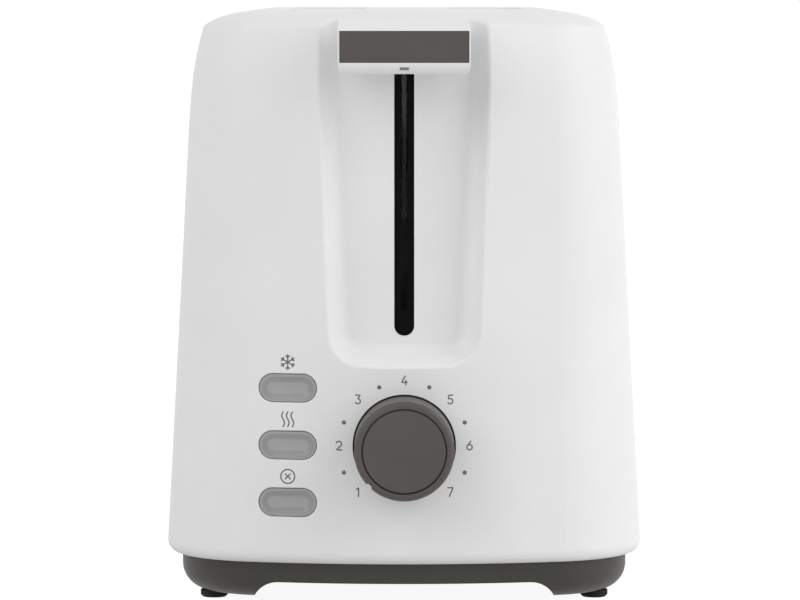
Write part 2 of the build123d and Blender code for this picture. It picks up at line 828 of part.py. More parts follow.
def heater_board(x):
    """Insulating board with two tabs through each end plate."""
    with BuildPart() as board:
        with BuildSketch(Plane.YZ.offset(x - board_thickness / 2)):
            with Locations((body_y, board_middle)):
                Rectangle(chamber_length - 2 * board_end_gap, board_top - board_bottom)
            with Locations(*[(body_y, height) for height in board_tab_heights]):
                Rectangle(chamber_length + 2 * board_tab_length, board_tab_height)
        extrude(amount=board_thickness)
    return board


def heater_winding(x):
    """Resistance wire wound round a board: level runs on both faces, joined by tilted half turns."""
    half_run = chamber_length / 2 - board_end_gap
    with BuildPart() as winding:
        with BuildLine() as path:
            for run in range(2 * heater_loops):
                face = 1 - 2 * (run % 2)
                height = board_bottom + heater_end_margin + run * winding_step
                start = (x + face * winding_radius, body_y - face * half_run, height)
                finish = (x + face * winding_radius, body_y + face * half_run, height)
                Line(start, finish)
                if run < 2 * heater_loops - 1:
                    middle = (x, body_y + face * (half_run + winding_reach), height + winding_step / 2)
                    next_start = (x - face * winding_radius, body_y + face * half_run, height + winding_step)
                    ThreePointArc(finish, middle, next_start)
        with BuildSketch(Plane(origin=path.line @ 0, x_dir=(1, 0, 0), z_dir=path.line % 0)):
            Rectangle(2 * heater_wire_radius, 2 * heater_wire_radius)
        sweep(path=path.line)
    return winding


for x, side in zip(heater_columns, ("left", "centre", "right")):
    save(heater_board(x), f"{side}_heater_board")
    save(heater_winding(x), f"{side}_heater_wire")
face_gap = 2 * (winding_radius - heater_wire_radius)
print("least gap of a winding to itself", round(min(face_gap, 2 * winding_step - 2 * heater_wire_radius), 2))


def bread_guard(x):
    """Hinged wire grid: pivot rail with pins, top rail and upright wires, all in one plane."""
    pin_start = plate_rear + guard_pin_reach
    pin_length = plate_rear - plate_front + 2 * guard_pin_reach
    pitch = chamber_length / guard_wire_count
    first = chamber_front + pitch / 2
    with BuildPart() as guard:
        with BuildSketch(facing_front(pin_start)):
            with Locations((x, guard_pivot_height)):
                Circle(guard_pin_radius)
        extrude(amount=pin_length)
        with BuildSketch(facing_front(pin_start)):
            with Locations((x, guard_top_height)):
                RegularPolygon(guard_rail_radius, guard_wire_sides)
        extrude(amount=pin_length)
        with BuildSketch(Plane.XY.offset(guard_pivot_height)):
            with Locations(*[(x, first + pitch * step) for step in range(guard_wire_count)]):
                RegularPolygon(guard_wire_radius, guard_wire_sides)
        extrude(amount=guard_top_height - guard_pivot_height)
    return guard


for x, name in zip(guard_columns, ("left_inner", "left_outer", "right_inner", "right_outer")):
    save(bread_guard(x), f"{name}_guard")


def bread_rack(x):
    """Bread support: an upright spine through both end plates, with shallow V fingers across it."""
    spine_length = plate_rear + rack_rear_reach - slide_plate_back
    rack_top = rack_bottom + rack_height
    with BuildPart() as rack:
        with BuildSketch(Plane.XY.offset(rack_bottom)):
            with Locations((x, slide_plate_back)):
                Rectangle(rack_thickness, spine_length, align=(Align.CENTER, Align.MIN))
        extrude(amount=rack_height)
        for step in range(rack_finger_count):
            finger_y = body_y + rack_finger_pitch * (step - (rack_finger_count - 1) / 2)
            with BuildSketch(facing_front(finger_y + rack_finger_width / 2)):
                with BuildLine():
                    Polyline(
                        (x - rack_half_width, rack_top + rack_rise),
                        (x, rack_top),
                        (x + rack_half_width, rack_top + rack_rise),
                        (x + rack_half_width, rack_top + rack_rise - rack_finger_thickness),
                        (x, rack_top - rack_finger_thickness),
                        (x - rack_half_width, rack_top + rack_rise - rack_finger_thickness),
                        close=True,
                    )
                make_face()
            extrude(amount=rack_finger_width)
    return rack


save(bread_rack(-slot_x), "left_bread_rack")
save(bread_rack(slot_x), "right_bread_rack")

# Carriage plate that joins the racks, with a tab for the return spring
with BuildPart() as carriage_plate:
    with BuildSketch(facing_front(slide_plate_back)):
        with Locations((0, rack_bottom + slide_plate_height / 2)):
            Rectangle(2 * slide_plate_half_width, slide_plate_height)
    extrude(amount=slide_plate_thickness)
    with BuildSketch(Plane.XY.offset(rack_bottom)):
        with Locations((spring_x, slide_plate_front)):
            Rectangle(spring_tab_width, spring_tab_depth, align=(Align.CENTER, Align.MAX))
    extrude(amount=spring_tab_thickness)
save(carriage_plate, "carriage_plate")

# Bush that runs on the guide rod
with BuildPart() as slider_bush:
    with BuildSketch(Plane.XY.offset(rack_bottom)):
        with Locations((bush_x, rod_y)):
            RectangleRounded(2 * bush_half_width, bush_depth, bush_depth / 4)
            Circle(rod_radius + pin_gap, mode=Mode.SUBTRACT)
    extrude(amount=slide_plate_height)
save(slider_bush, "slider_bush")

# Armature that the holding magnet pulls on
armature_y = slide_plate_front - armature_depth / 2
with BuildPart() as armature_plate:
    with BuildSketch(Plane.XY.offset(rack_bottom)):
        with Locations((armature_x, armature_y)):
            Rectangle(armature_width, armature_depth)
    extrude(amount=armature_thickness)
save(armature_plate, "armature_plate")

# Lever arm from the carriage plate out through the shell's slot
handle_back = recess_floor_y - handle_back_gap
handle_front = handle_back - handle_depth
arm_front = handle_back - handle_socket_depth + pin_gap
arm_bar_top = arm_bar_bottom + arm_bar_height
with BuildPart() as lever_arm:
    with BuildSketch(Plane.YZ.offset(-arm_thickness / 2)):
        with BuildLine():
            Polyline(
                (slide_plate_front, rack_bottom),
                (slide_plate_front, arm_bar_top),
                (arm_front, arm_bar_top),
                (arm_front, arm_bar_bottom),
                (slide_plate_front - arm_post_depth, arm_bar_bottom),
                (slide_plate_front - arm_post_depth, rack_bottom),
                close=True,
            )
        make_face()
    extrude(amount=arm_thickness)
save(lever_arm, "lever_arm")

# Lever handle: a sloping block with a rounded chin, hollowed for the insert, the arm and the catch window
insert_middle = insert_bottom + insert_height / 2
with BuildPart() as lever_handle:
    with BuildSketch(Plane.YZ.offset(-handle_width / 2)):
        with BuildLine():
            Polyline(
                (handle_back, handle_heel),
                (handle_front, handle_bottom),
                (handle_front, handle_brow),
                (handle_back, handle_crown),
                close=True,
            )
        make_face()
    extrude(amount=handle_width)
    chin = lever_handle.edges().filter_by(Axis.X).sort_by(Axis.Z)[0]
    fillet(chin, handle_chin_radius)
    with BuildSketch(facing_front(handle_back)):
        with BuildLine():
            FilletPolyline(
                (-handle_width / 2, handle_crown),
                (-handle_width / 2, handle_bottom),
                (handle_width / 2, handle_bottom),
                (handle_width / 2, handle_crown),
                radius=handle_end_radius,
            )
            Line((handle_width / 2, handle_crown), (-handle_width / 2, handle_crown))
        make_face()
    extrude(amount=handle_depth, mode=Mode.INTERSECT)
    brow = lever_handle.edges().filter_by(Axis.X).group_by(Axis.Y)[0].sort_by(Axis.Z)[-1]
    fillet(brow, handle_brow_radius)
    with BuildSketch(facing_front(handle_front)):
        with Locations((0, insert_middle)):
            Rectangle(insert_width + 2 * insert_gap, insert_height + 2 * insert_gap)
    extrude(amount=-insert_depth, mode=Mode.SUBTRACT)
    with BuildSketch(facing_front(handle_back)):
        with Locations((0, arm_bar_bottom + arm_bar_height / 2)):
            Rectangle(arm_thickness + 2 * pin_gap, arm_bar_height + 2 * pin_gap)
    extrude(amount=handle_socket_depth, mode=Mode.SUBTRACT)
    with BuildSketch(facing_front(handle_front)):
        with Locations((0, snap_window_bottom + snap_window_height / 2)):
            Rectangle(snap_window_width, snap_window_height)
    extrude(amount=-snap_window_depth, mode=Mode.SUBTRACT)
save(lever_handle, "lever_handle")

# Dark insert in the face of the handle
with BuildPart() as lever_insert:
    with BuildSketch(facing_front(handle_front + insert_depth)):
        with Locations((0, insert_middle)):
            RectangleRounded(insert_width, insert_height, insert_corner_radius)
    extrude(amount=insert_depth - pin_gap)
    fillet(lever_insert.edges().group_by(Axis.Y)[0], insert_edge_radius)
save(lever_insert, "lever_insert")

# Guide rod and the brackets that hold it to the front plate
with BuildPart() as guide_rod:
    rod_bottom = lower_bracket_top - bracket_thickness - rod_tail
    with BuildSketch(Plane.XY.offset(rod_bottom)):
        with Locations((bush_x, rod_y)):
            Circle(rod_radius)
    extrude(amount=upper_bracket_top + rod_head - rod_bottom)
    chamfer(guide_rod.edges(), rod_radius / 5)
save(guide_rod, "guide_rod")


def bracket(left, right, top, drop):
    """Angle bracket on the front plate, with a hole for the guide rod."""
    width = right - left
    middle = (left + right) / 2
    with BuildPart() as angle:
        with BuildSketch(Plane.XY.offset(top - bracket_thickness)):
            with Locations((middle, plate_front)):
                Rectangle(width, bracket_depth, align=(Align.CENTER, Align.MAX))
            with Locations((bush_x, rod_y)):
                Circle(rod_radius + pin_gap, mode=Mode.SUBTRACT)
            if left < 0:
                below_web = (Align.CENTER, Align.MAX)
                with Locations((0, plate_front - upper_bracket_web)):
                    Rectangle(upper_bracket_notch, bracket_depth, align=below_web, mode=Mode.SUBTRACT)
        extrude(amount=bracket_thickness)
        with BuildSketch(facing_front(plate_front)):
            with Locations((middle, top)):
                Rectangle(width, drop, align=(Align.CENTER, Align.MAX))
        extrude(amount=bracket_thickness)
    return angle


save(
    bracket(upper_bracket_left, upper_bracket_right, upper_bracket_top, upper_bracket_drop),
    "upper_rod_bracket",
)
save(
    bracket(
        bush_x - lower_bracket_half_width,
        bush_x + lower_bracket_half_width,
        lower_bracket_top,
        lower_bracket_drop,
    ),
    "lower_rod_bracket",
)

# Return spring between the carriage plate's tab and the upper bracket
spring_bottom = rack_bottom + spring_tab_thickness + seat_gap + spring_wire_radius
spring_top = upper_bracket_top - bracket_thickness - seat_gap - spring_wire_radius
spring_step = (spring_top - spring_bottom) / (2 * spring_turns)
with BuildPart() as return_spring:
    with BuildLine() as coil:
        for turn in range(2 * spring_turns):
            face = 1 - 2 * (turn % 2)
            height = spring_bottom + turn * spring_step
            spring_reach = math.hypot(spring_radius, spring_step / 2)
            ThreePointArc(
                (spring_x + face * spring_radius, rod_y, height),
                (spring_x, rod_y + face * spring_reach, height + spring_step / 2),
                (spring_x - face * spring_radius, rod_y, height + spring_step),
            )
    with BuildSketch(Plane(origin=coil.line @ 0, x_dir=(1, 0, 0), z_dir=coil.line % 0)):
        Rectangle(2 * spring_wire_radius, 2 * spring_wire_radius)
    sweep(path=coil.line)
save(return_spring, "return_spring")

# Holding magnet: core on an angle foot, and its coil
pole_top = rack_bottom - lever_travel - magnet_pole_gap
magnet_foot_top = magnet_foot_bottom + magnet_foot_thickness
with BuildPart() as magnet_core:
    with BuildSketch(Plane.XY.offset(magnet_foot_bottom)):
        with Locations((armature_x, plate_front)):
            foot_reach = plate_front - armature_y + magnet_foot_half_width
            Rectangle(2 * magnet_foot_half_width, foot_reach, align=(Align.CENTER, Align.MAX))
    extrude(amount=magnet_foot_thickness)
    with BuildSketch(facing_front(plate_front)):
        with Locations((armature_x, magnet_foot_bottom)):
            Rectangle(2 * magnet_foot_half_width, magnet_foot_flange, align=(Align.CENTER, Align.MIN))
    extrude(amount=magnet_foot_thickness)
    with BuildSketch(Plane.XY.offset(magnet_foot_top)):
        with Locations((armature_x, armature_y)):
            Circle(magnet_pole_radius)
    extrude(amount=pole_top - magnet_foot_top)
save(magnet_core, "magnet_core")

with BuildPart() as magnet_coil:
    with BuildSketch(Plane.XY.offset(magnet_foot_top)):
        with Locations((armature_x, armature_y)):
            Circle(coil_radius)
            Circle(magnet_pole_radius + pin_gap, mode=Mode.SUBTRACT)
    extrude(amount=pole_top - coil_end_gap - magnet_foot_top)
save(magnet_coil, "magnet_coil")

# Mains switch with two contact leaves
with BuildPart() as mains_switch:
    with BuildSketch(Plane.XY.offset(mains_switch_bottom)):
        with Locations((mains_switch_x, plate_front)):
            Rectangle(mains_switch_width, mains_switch_depth, align=(Align.CENTER, Align.MAX))
    extrude(amount=mains_switch_height)
    fillet(mains_switch.edges().filter_by(Axis.Z).group_by(Axis.Y)[0], switch_leaf_thickness)
    with BuildSketch(Plane.XY.offset(mains_switch_bottom + mains_switch_height)):
        with Locations((mains_switch_x, plate_front - mains_switch_depth / 2)):
            with GridLocations(mains_switch_width / 2, 0, 2, 1):
                Rectangle(switch_leaf_thickness, switch_leaf_width)
    extrude(amount=switch_leaf_height)
save(mains_switch, "mains_switch")

# Control board with the dial's potentiometer and the button switches
with BuildPart() as control_board:
    with BuildSketch(facing_front(board_face + circuit_thickness)):
        with Locations(((circuit_left + circuit_right) / 2, (circuit_bottom + circuit_top) / 2)):
            Rectangle(circuit_right - circuit_left, circuit_top - circuit_bottom)
    extrude(amount=circuit_thickness)
save(control_board, "control_board")

with BuildPart() as dial_potentiometer:
    with BuildSketch(facing_front(board_face)):
        with Locations((0, dial_height)):
            Rectangle(pot_size, pot_size)
    extrude(amount=pot_depth)
    chamfer(dial_potentiometer.edges().filter_by(Axis.Y), pot_edge)
save(dial_potentiometer, "dial_potentiometer")

with BuildPart() as button_switches:
    with BuildSketch(facing_front(board_face)):
        with Locations(*[(button_column, height) for height in button_heights]):
            Rectangle(tact_size, tact_size)
    extrude(amount=tact_height)
save(button_switches, "button_switches")

# Dial shaft with a flat, knob and cap
dial_back = dial_seat_y - dial_pocket_gap
dial_depth = dial_back - dial_front
bore_depth = dial_depth - dial_face_thickness
pot_front = board_face - pot_depth


def shaft_section(radius):
    """Round shaft section with one flat, at the dial's axis."""
    with BuildSketch() as section:
        Circle(radius)
        with Locations((0, radius - dial_shaft_flat)):
            Rectangle(2 * radius, radius, align=(Align.CENTER, Align.MIN), mode=Mode.SUBTRACT)
    return section.sketch


with BuildPart() as dial_shaft:
    with BuildSketch(facing_front(pot_front - slide_gap)):
        with Locations((0, dial_height)):
            add(shaft_section(dial_shaft_radius))
    extrude(amount=pot_front - slide_gap - dial_back + bore_depth - slide_gap)
save(dial_shaft, "dial_shaft")

with BuildPart() as dial_knob:
    with BuildSketch(Plane(origin=(0, dial_back, dial_height), x_dir=(1, 0, 0), z_dir=(0, 0, -1))):
        with BuildLine():
            Polyline((0, 0), (dial_radius, 0), (dial_face_radius, dial_depth), (0, dial_depth), close=True)
        make_face()
    revolve(axis=Axis((0, 0, dial_height), (0, 1, 0)))
    fillet(dial_knob.edges().group_by(Axis.Y)[0], dial_edge_radius)
    with BuildSketch(facing_front(dial_back)):
        with Locations((0, dial_height)):
            Circle(dial_face_radius - dial_wall)
            Circle(dial_hub_radius, mode=Mode.SUBTRACT)
    extrude(amount=bore_depth, mode=Mode.SUBTRACT)
    with BuildSketch(facing_front(dial_back)):
        with Locations((0, dial_height)):
            add(shaft_section(dial_shaft_radius + pin_gap))
    extrude(amount=bore_depth, mode=Mode.SUBTRACT)
    with BuildSketch(facing_front(dial_front)):
        with Locations((0, dial_height)):
            Circle(dial_cap_radius + dial_cap_edge)
    extrude(amount=-dial_cap_thickness, mode=Mode.SUBTRACT)
    with BuildSketch(facing_front(dial_front)):
        notch_turn = math.radians(dial_notch_angle)
        notch_x = dial_notch_offset * math.cos(notch_turn)
        with Locations((notch_x, dial_height + dial_notch_offset * math.sin(notch_turn))):
            Circle(dial_notch_radius)
    extrude(amount=-dial_depth, mode=Mode.SUBTRACT)
save(dial_knob, "dial_knob")

with BuildPart() as dial_cap:
    with BuildSketch(facing_front(dial_front + dial_cap_thickness)):
        with Locations((0, dial_height)):
            Circle(dial_cap_radius)
    extrude(amount=dial_cap_thickness)
    chamfer(dial_cap.edges().group_by(Axis.Y)[0], dial_cap_edge)
save(dial_cap, "dial_cap")

# Push buttons: a pill that follows the body's curve, with a shallow dish, a flange and a stem
button_skin = body_block(button_sink)
flange_y = front_y + button_flange_setback
stem_end = board_face - tact_height - button_travel - seat_gap
dish_half_height = button_height / 2 - button_dish_margin
dish_radius = (dish_half_height**2 + button_dish_depth**2) / (2 * button_dish_depth)
dish_centre = dish_radius - button_dish_depth - button_sink
dish_reach = (button_length - button_height) / 2


def button_dish(height):
    """Finger dish to take out of a button's face: a round bar with round ends that dips into the face."""
    face = front_face_plane(button_column, height)
    with BuildPart(face) as dish:
        with Locations((-dish_reach, 0, dish_centre), (dish_reach, 0, dish_centre)):
            Sphere(dish_radius)
        with Locations((0, 0, dish_centre)):
            Cylinder(dish_radius, 2 * dish_reach, rotation=(0, 90, 0))
    return dish.part


def push_button(height):
    """One push button, flush with the shell."""
    flange_length = button_length + 2 * button_flange_margin
    with BuildPart() as button:
        with BuildSketch(facing_front(flange_y)):
            with Locations((button_column, height)):
                SlotOverall(button_length, button_height)
        extrude(amount=2 * overrun)
        add(button_skin, mode=Mode.INTERSECT)
        add(button_dish(height), mode=Mode.SUBTRACT)
        with BuildSketch(facing_front(flange_y + button_flange_thickness)):
            with Locations((button_column, height)):
                SlotOverall(flange_length, button_height + 2 * button_flange_margin)
        extrude(amount=button_flange_thickness)
        with BuildSketch(facing_front(stem_end)):
            with Locations((button_column, height)):
                Circle(button_stem_radius)
        extrude(amount=stem_end - flange_y)
    return button


for name, height in zip(button_names, button_heights):
    save(push_button(height), name)

# Crumb tray: a shallow steel pan
tray_bottom = base_floor_top + seat_gap
tray_front = chamber_front + tray_front_gap
tray_rear = base_rear - tray_handle_depth
with BuildPart() as crumb_tray:
    with BuildSketch(Plane.XY.offset(tray_bottom)):
        with Locations((0, (tray_front + tray_rear) / 2)):
            RectangleRounded(2 * tray_half_width, tray_rear - tray_front, tray_corner_radius)
    extrude(amount=tray_height)
    with BuildSketch(Plane.XY.offset(tray_bottom + tray_sheet)):
        with Locations((0, (tray_front + tray_rear) / 2)):
            RectangleRounded(
                2 * (tray_half_width - tray_sheet),
                tray_rear - tray_front - 2 * tray_sheet,
                tray_corner_radius - tray_sheet,
            )
    extrude(amount=tray_height, mode=Mode.SUBTRACT)
save(crumb_tray, "crumb_tray")

# Handle of the crumb tray, which fills the opening in the base's rear wall
handle_low = arch_top + tray_handle_gap
handle_high = shell_bottom - tray_handle_gap
with BuildPart() as tray_handle:
    extrude(outline(handle_low, base_inset), amount=handle_high - handle_low)
    with BuildSketch(Plane.XY.offset(handle_low)):
        with Locations((0, tray_rear)):
            Rectangle(2 * tray_handle_half_width, overrun, align=(Align.CENTER, Align.MIN))
    extrude(amount=handle_high - handle_low, mode=Mode.INTERSECT)
    with BuildSketch(Plane.YZ.offset(-tray_grip_width / 2)):
        with Locations((base_rear - tray_handle_depth / 2, handle_low - tray_grip_drop)):
            Circle(tray_grip_radius)
    extrude(amount=tray_grip_width, mode=Mode.SUBTRACT)
save(tray_handle, "tray_handle")
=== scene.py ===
# %% [markdown]
# # Dressing a two-slot toaster
# The solid model already has every piece of the toaster at its real size: a white moulded shell, a dark
# base, a lever that lowers the bread, a browning dial, three push buttons, a crumb tray and the works
# inside. This lesson gives each piece its finish, and makes the things that a solid modeller leaves
# out: printed marks, wound heating ribbon, wire bread guards and a coiled spring. All lengths are in
# metres, +Z is up, and the lever end faces -Y.

# %% Load the frame
import math

import bpy
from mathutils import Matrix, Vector


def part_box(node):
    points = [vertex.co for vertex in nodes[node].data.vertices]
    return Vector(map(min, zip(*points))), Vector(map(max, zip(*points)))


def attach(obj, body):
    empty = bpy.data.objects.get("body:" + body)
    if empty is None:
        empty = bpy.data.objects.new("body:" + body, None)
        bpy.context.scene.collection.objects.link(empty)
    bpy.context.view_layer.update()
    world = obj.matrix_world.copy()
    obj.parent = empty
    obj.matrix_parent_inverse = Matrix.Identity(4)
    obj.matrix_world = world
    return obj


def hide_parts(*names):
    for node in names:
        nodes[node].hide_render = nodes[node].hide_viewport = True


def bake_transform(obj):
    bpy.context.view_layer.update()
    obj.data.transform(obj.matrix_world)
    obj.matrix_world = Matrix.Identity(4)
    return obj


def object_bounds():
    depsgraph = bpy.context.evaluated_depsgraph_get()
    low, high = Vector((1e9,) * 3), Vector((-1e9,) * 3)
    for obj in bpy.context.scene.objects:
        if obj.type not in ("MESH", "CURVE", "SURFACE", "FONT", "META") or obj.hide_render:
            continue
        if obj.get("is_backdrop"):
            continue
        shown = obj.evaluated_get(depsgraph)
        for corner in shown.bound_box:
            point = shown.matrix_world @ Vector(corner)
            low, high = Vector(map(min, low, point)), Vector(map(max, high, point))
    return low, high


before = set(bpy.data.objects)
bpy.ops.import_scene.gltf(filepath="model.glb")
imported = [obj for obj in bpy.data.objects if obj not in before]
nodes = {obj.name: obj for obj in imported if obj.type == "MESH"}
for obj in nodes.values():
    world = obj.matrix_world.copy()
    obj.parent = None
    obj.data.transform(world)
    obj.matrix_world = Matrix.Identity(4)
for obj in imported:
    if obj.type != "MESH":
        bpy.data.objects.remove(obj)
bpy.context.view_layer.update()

MM = 0.001

# %% [markdown]
# ## Camera
# The picture was taken with a long lens from about a metre and a half, with the camera just above the
# toaster's top, so upright edges stay nearly parallel and the top is seen almost edge on. A camera
# could be pushed about by hand until it fits, but measured numbers are surer. A lens's focal length is
# the picture's focal length in pixels times the sensor's width over the picture's width. Pitching the
# camera down by a measured angle puts the horizon where the picture has it.

# %% Place the camera
PICTURE_WIDTH = 800
FOCAL_PIXELS = 4408
HORIZON_PIXELS_ABOVE_MIDDLE = 312.1
SENSOR_WIDTH_MM = 36.0
CAMERA_DISTANCE = 1.5
CAMERA_HEIGHT = 0.213
CAMERA_SIDE = -0.00146
NEAREST_SEEN = 0.05
FARTHEST_SEEN = 200.0


def add_object(name, data):
    """Puts a camera, lamp or mesh into the scene as an object."""
    made = bpy.data.objects.new(name, data)
    bpy.context.scene.collection.objects.link(made)
    return made


shell_low, shell_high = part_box("body_shell")
camera_data = bpy.data.cameras.new("studio_camera")
camera_data.sensor_width = SENSOR_WIDTH_MM
camera_data.lens = FOCAL_PIXELS * SENSOR_WIDTH_MM / PICTURE_WIDTH
camera_data.clip_start = NEAREST_SEEN
camera_data.clip_end = FARTHEST_SEEN
camera = add_object("studio_camera", camera_data)
camera.location = (CAMERA_SIDE, shell_low.y - CAMERA_DISTANCE, CAMERA_HEIGHT)
pitch = math.atan2(HORIZON_PIXELS_ABOVE_MIDDLE, FOCAL_PIXELS)
camera.rotation_euler = (math.pi / 2 - pitch, 0.0, 0.0)
bpy.context.scene.camera = camera
bpy.context.scene.view_settings.view_transform = "Standard"
print("lens", round(camera_data.lens, 1), "mm, pitch", round(math.degrees(pitch), 2), "degrees")

# %% [markdown]
# ## Small helpers for node trees
# Finishes and repeated forms are both small trees of nodes. They could be wired by hand in the node
# editor. In a script three short helpers keep that readable: one adds a node, sets its own settings and
# then the values of its sockets by name or number, one joins two sockets, and one writes a neutral
# colour.


# %% Node helpers
def add_node(tree, kind, values=None, **settings):
    """Adds a node, sets its own settings and then the values of its sockets, by name or number."""
    made = tree.nodes.new(kind)
    for name, value in settings.items():
        setattr(made, name, value)
    for socket, value in (values or {}).items():
        made.inputs[socket].default_value = value
    return made


def join(tree, source, target):
    """Links an output socket to an input socket."""
    tree.links.new(source, target)


def grey(level):
    """A neutral colour."""
    return (level, level, level, 1.0)


# %% [markdown]
# ## Floor and light
# A product picture on white stands on a white sweep. It could be lit with a picture of a studio, but a
# plain floor and a few boxes can be set one by one. The floor is a wide pale sheet. Where the camera or
# a reflection sees it, a share of glow lifts it to paper white, and the rest of it still catches the
# toaster's soft shadow. The world is a white studio, bright where it is seen and dimmer as a lamp, so
# that soft boxes can model the shape: a large key from the right, a weaker fill from the left and
# above, and a low one behind for the rear. The one behind is kept out of reflections, so that it puts
# no glare on the top.


# %% Rays that show something to the eye
def in_view(tree):
    """A socket that is 1 for rays that show something to the eye: straight, mirrored or through glass."""
    path = add_node(tree, "ShaderNodeLightPath")
    straight_or_mirrored = add_node(tree, "ShaderNodeMath", operation="MAXIMUM")
    any_of_them = add_node(tree, "ShaderNodeMath", operation="MAXIMUM")
    join(tree, path.outputs["Is Camera Ray"], straight_or_mirrored.inputs[0])
    join(tree, path.outputs["Is Glossy Ray"], straight_or_mirrored.inputs[1])
    join(tree, straight_or_mirrored.outputs[0], any_of_them.inputs[0])
    join(tree, path.outputs["Is Transmission Ray"], any_of_them.inputs[1])
    return any_of_them.outputs[0]


# %% Floor
FLOOR_SIZE = 200.0
FLOOR_TONE = 0.80
FLOOR_GLOW = 1.40
FLOOR_GLOW_SHARE = 0.66

half = FLOOR_SIZE / 2
floor_corners = [(-half, -half, 0), (half, -half, 0), (half, half, 0), (-half, half, 0)]
floor_mesh = bpy.data.meshes.new("floor")
floor_mesh.from_pydata(floor_corners, [], [(0, 1, 2, 3)])
floor = add_object("floor", floor_mesh)
floor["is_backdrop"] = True

floor_paper = bpy.data.materials.new("floor_paper")
floor_paper.use_nodes = True
tree = floor_paper.node_tree
tree.nodes.clear()
out = add_node(tree, "ShaderNodeOutputMaterial")
sheet = add_node(tree, "ShaderNodeBsdfDiffuse", {"Color": grey(FLOOR_TONE)})
glow = add_node(tree, "ShaderNodeEmission", {"Color": grey(1.0), "Strength": FLOOR_GLOW})
share = add_node(tree, "ShaderNodeMath", {1: FLOOR_GLOW_SHARE}, operation="MULTIPLY")
mix = add_node(tree, "ShaderNodeMixShader")
join(tree, in_view(tree), share.inputs[0])
join(tree, share.outputs[0], mix.inputs["Fac"])
join(tree, sheet.outputs[0], mix.inputs[1])
join(tree, glow.outputs[0], mix.inputs[2])
join(tree, mix.outputs[0], out.inputs["Surface"])
floor_mesh.materials.append(floor_paper)
print("floor", FLOOR_SIZE, "m wide")

# %% Studio world
WORLD_LAMP_LEVEL = 0.50
WORLD_SEEN_LEVEL = 1.0

world = bpy.data.worlds.new("white_studio")
bpy.context.scene.world = world
world.use_nodes = True
tree = world.node_tree
tree.nodes.clear()
out = add_node(tree, "ShaderNodeOutputWorld")
level = add_node(tree, "ShaderNodeMapRange", {"To Min": WORLD_LAMP_LEVEL, "To Max": WORLD_SEEN_LEVEL})
sky = add_node(tree, "ShaderNodeBackground", {"Color": grey(1.0)})
join(tree, in_view(tree), level.inputs["Value"])
join(tree, level.outputs["Result"], sky.inputs["Strength"])
join(tree, sky.outputs[0], out.inputs["Surface"])
print("world", WORLD_LAMP_LEVEL, "as a lamp and", WORLD_SEEN_LEVEL, "where it is seen")

# %% Soft boxes
SOFT_BOXES = {
    "key_light": {"from": (1.9, -0.75, 1.1), "watts": 29.0, "size": 2.0, "mirrored": True},
    "fill_light": {"from": (-1.4, -1.05, 1.35), "watts": 15.2, "size": 1.7, "mirrored": True},
    "rear_light": {"from": (0.5, 1.9, 0.5), "watts": 12.0, "size": 1.6, "mirrored": False},
}

aim = Vector((0.0, 0.0, (shell_low.z + shell_high.z) / 2))
for name, box in SOFT_BOXES.items():
    lamp = bpy.data.lights.new(name, "AREA")
    lamp.energy = box["watts"]
    lamp.size = box["size"]
    stand = add_object(name, lamp)
    stand.visible_glossy = box["mirrored"]
    stand.location = box["from"]
    stand.rotation_euler = (aim - stand.location).to_track_quat("-Z", "Y").to_euler()
print("lit by", ", ".join(SOFT_BOXES))

# %% [markdown]
# ## Moulded finishes
# Real mouldings are never one flat colour. The mould's spark-eroded grain scatters light at a scale of
# a few tenths of a millimetre, and colour and gloss drift slowly over the surface. Painted maps could
# show that, but every piece would have to be unwrapped first. Noise on Object coordinates needs no
# unwrapping and has its scale in real millimetres. A broad noise drives colour and roughness a little,
# and a fine one drives a bump. One function makes that body, and each plastic, rubber or board sets its
# own tones and scales.


# %% Start a finish
def new_finish(name):
    """Starts a material; returns it with its node tree and its shader."""
    made = bpy.data.materials.new(name)
    made.use_nodes = True
    return made, made.node_tree, made.node_tree.nodes["Principled BSDF"]


def noise_at(tree, place, size_mm, detail, roughness=0.5):
    """Noise with features of a size in millimetres, read at a socket's coordinates."""
    values = {"Scale": 1 / (size_mm * MM), "Detail": detail, "Roughness": roughness}
    noise = add_node(tree, "ShaderNodeTexNoise", values)
    join(tree, place, noise.inputs["Vector"])
    return noise.outputs["Fac"]


# %% What a noise can drive
NOISE_RANGE = (0.3, 0.7)


def set_ramp(node, stops):
    """Gives a colour ramp its stops, pairs of position and colour from low to high."""
    elements = node.color_ramp.elements
    for position, colour in stops[1:-1]:
        elements.new(position)
    for element, (position, colour) in zip(elements, stops):
        element.position = position
        element.color = colour


def tone_by(tree, noise, dark, light, span=NOISE_RANGE):
    """Colour that goes from dark to light as a noise climbs over a span."""
    tone = add_node(tree, "ShaderNodeValToRGB")
    set_ramp(tone, [(span[0], (*dark, 1.0)), (span[1], (*light, 1.0))])
    join(tree, noise, tone.inputs["Fac"])
    return tone.outputs["Color"]


def gloss_by(tree, noise, rough):
    """Roughness that goes over a range as a noise climbs."""
    spans = {"From Min": NOISE_RANGE[0], "From Max": NOISE_RANGE[1], "To Min": rough[0], "To Max": rough[1]}
    gloss = add_node(tree, "ShaderNodeMapRange", spans)
    join(tree, noise, gloss.inputs["Value"])
    return gloss.outputs["Result"]


def relief_by(tree, noise, relief_mm):
    """Normals of a surface that a noise lifts by a height in millimetres."""
    bump = add_node(tree, "ShaderNodeBump", {"Strength": 1.0, "Distance": relief_mm * MM})
    join(tree, noise, bump.inputs["Height"])
    return bump.outputs["Normal"]


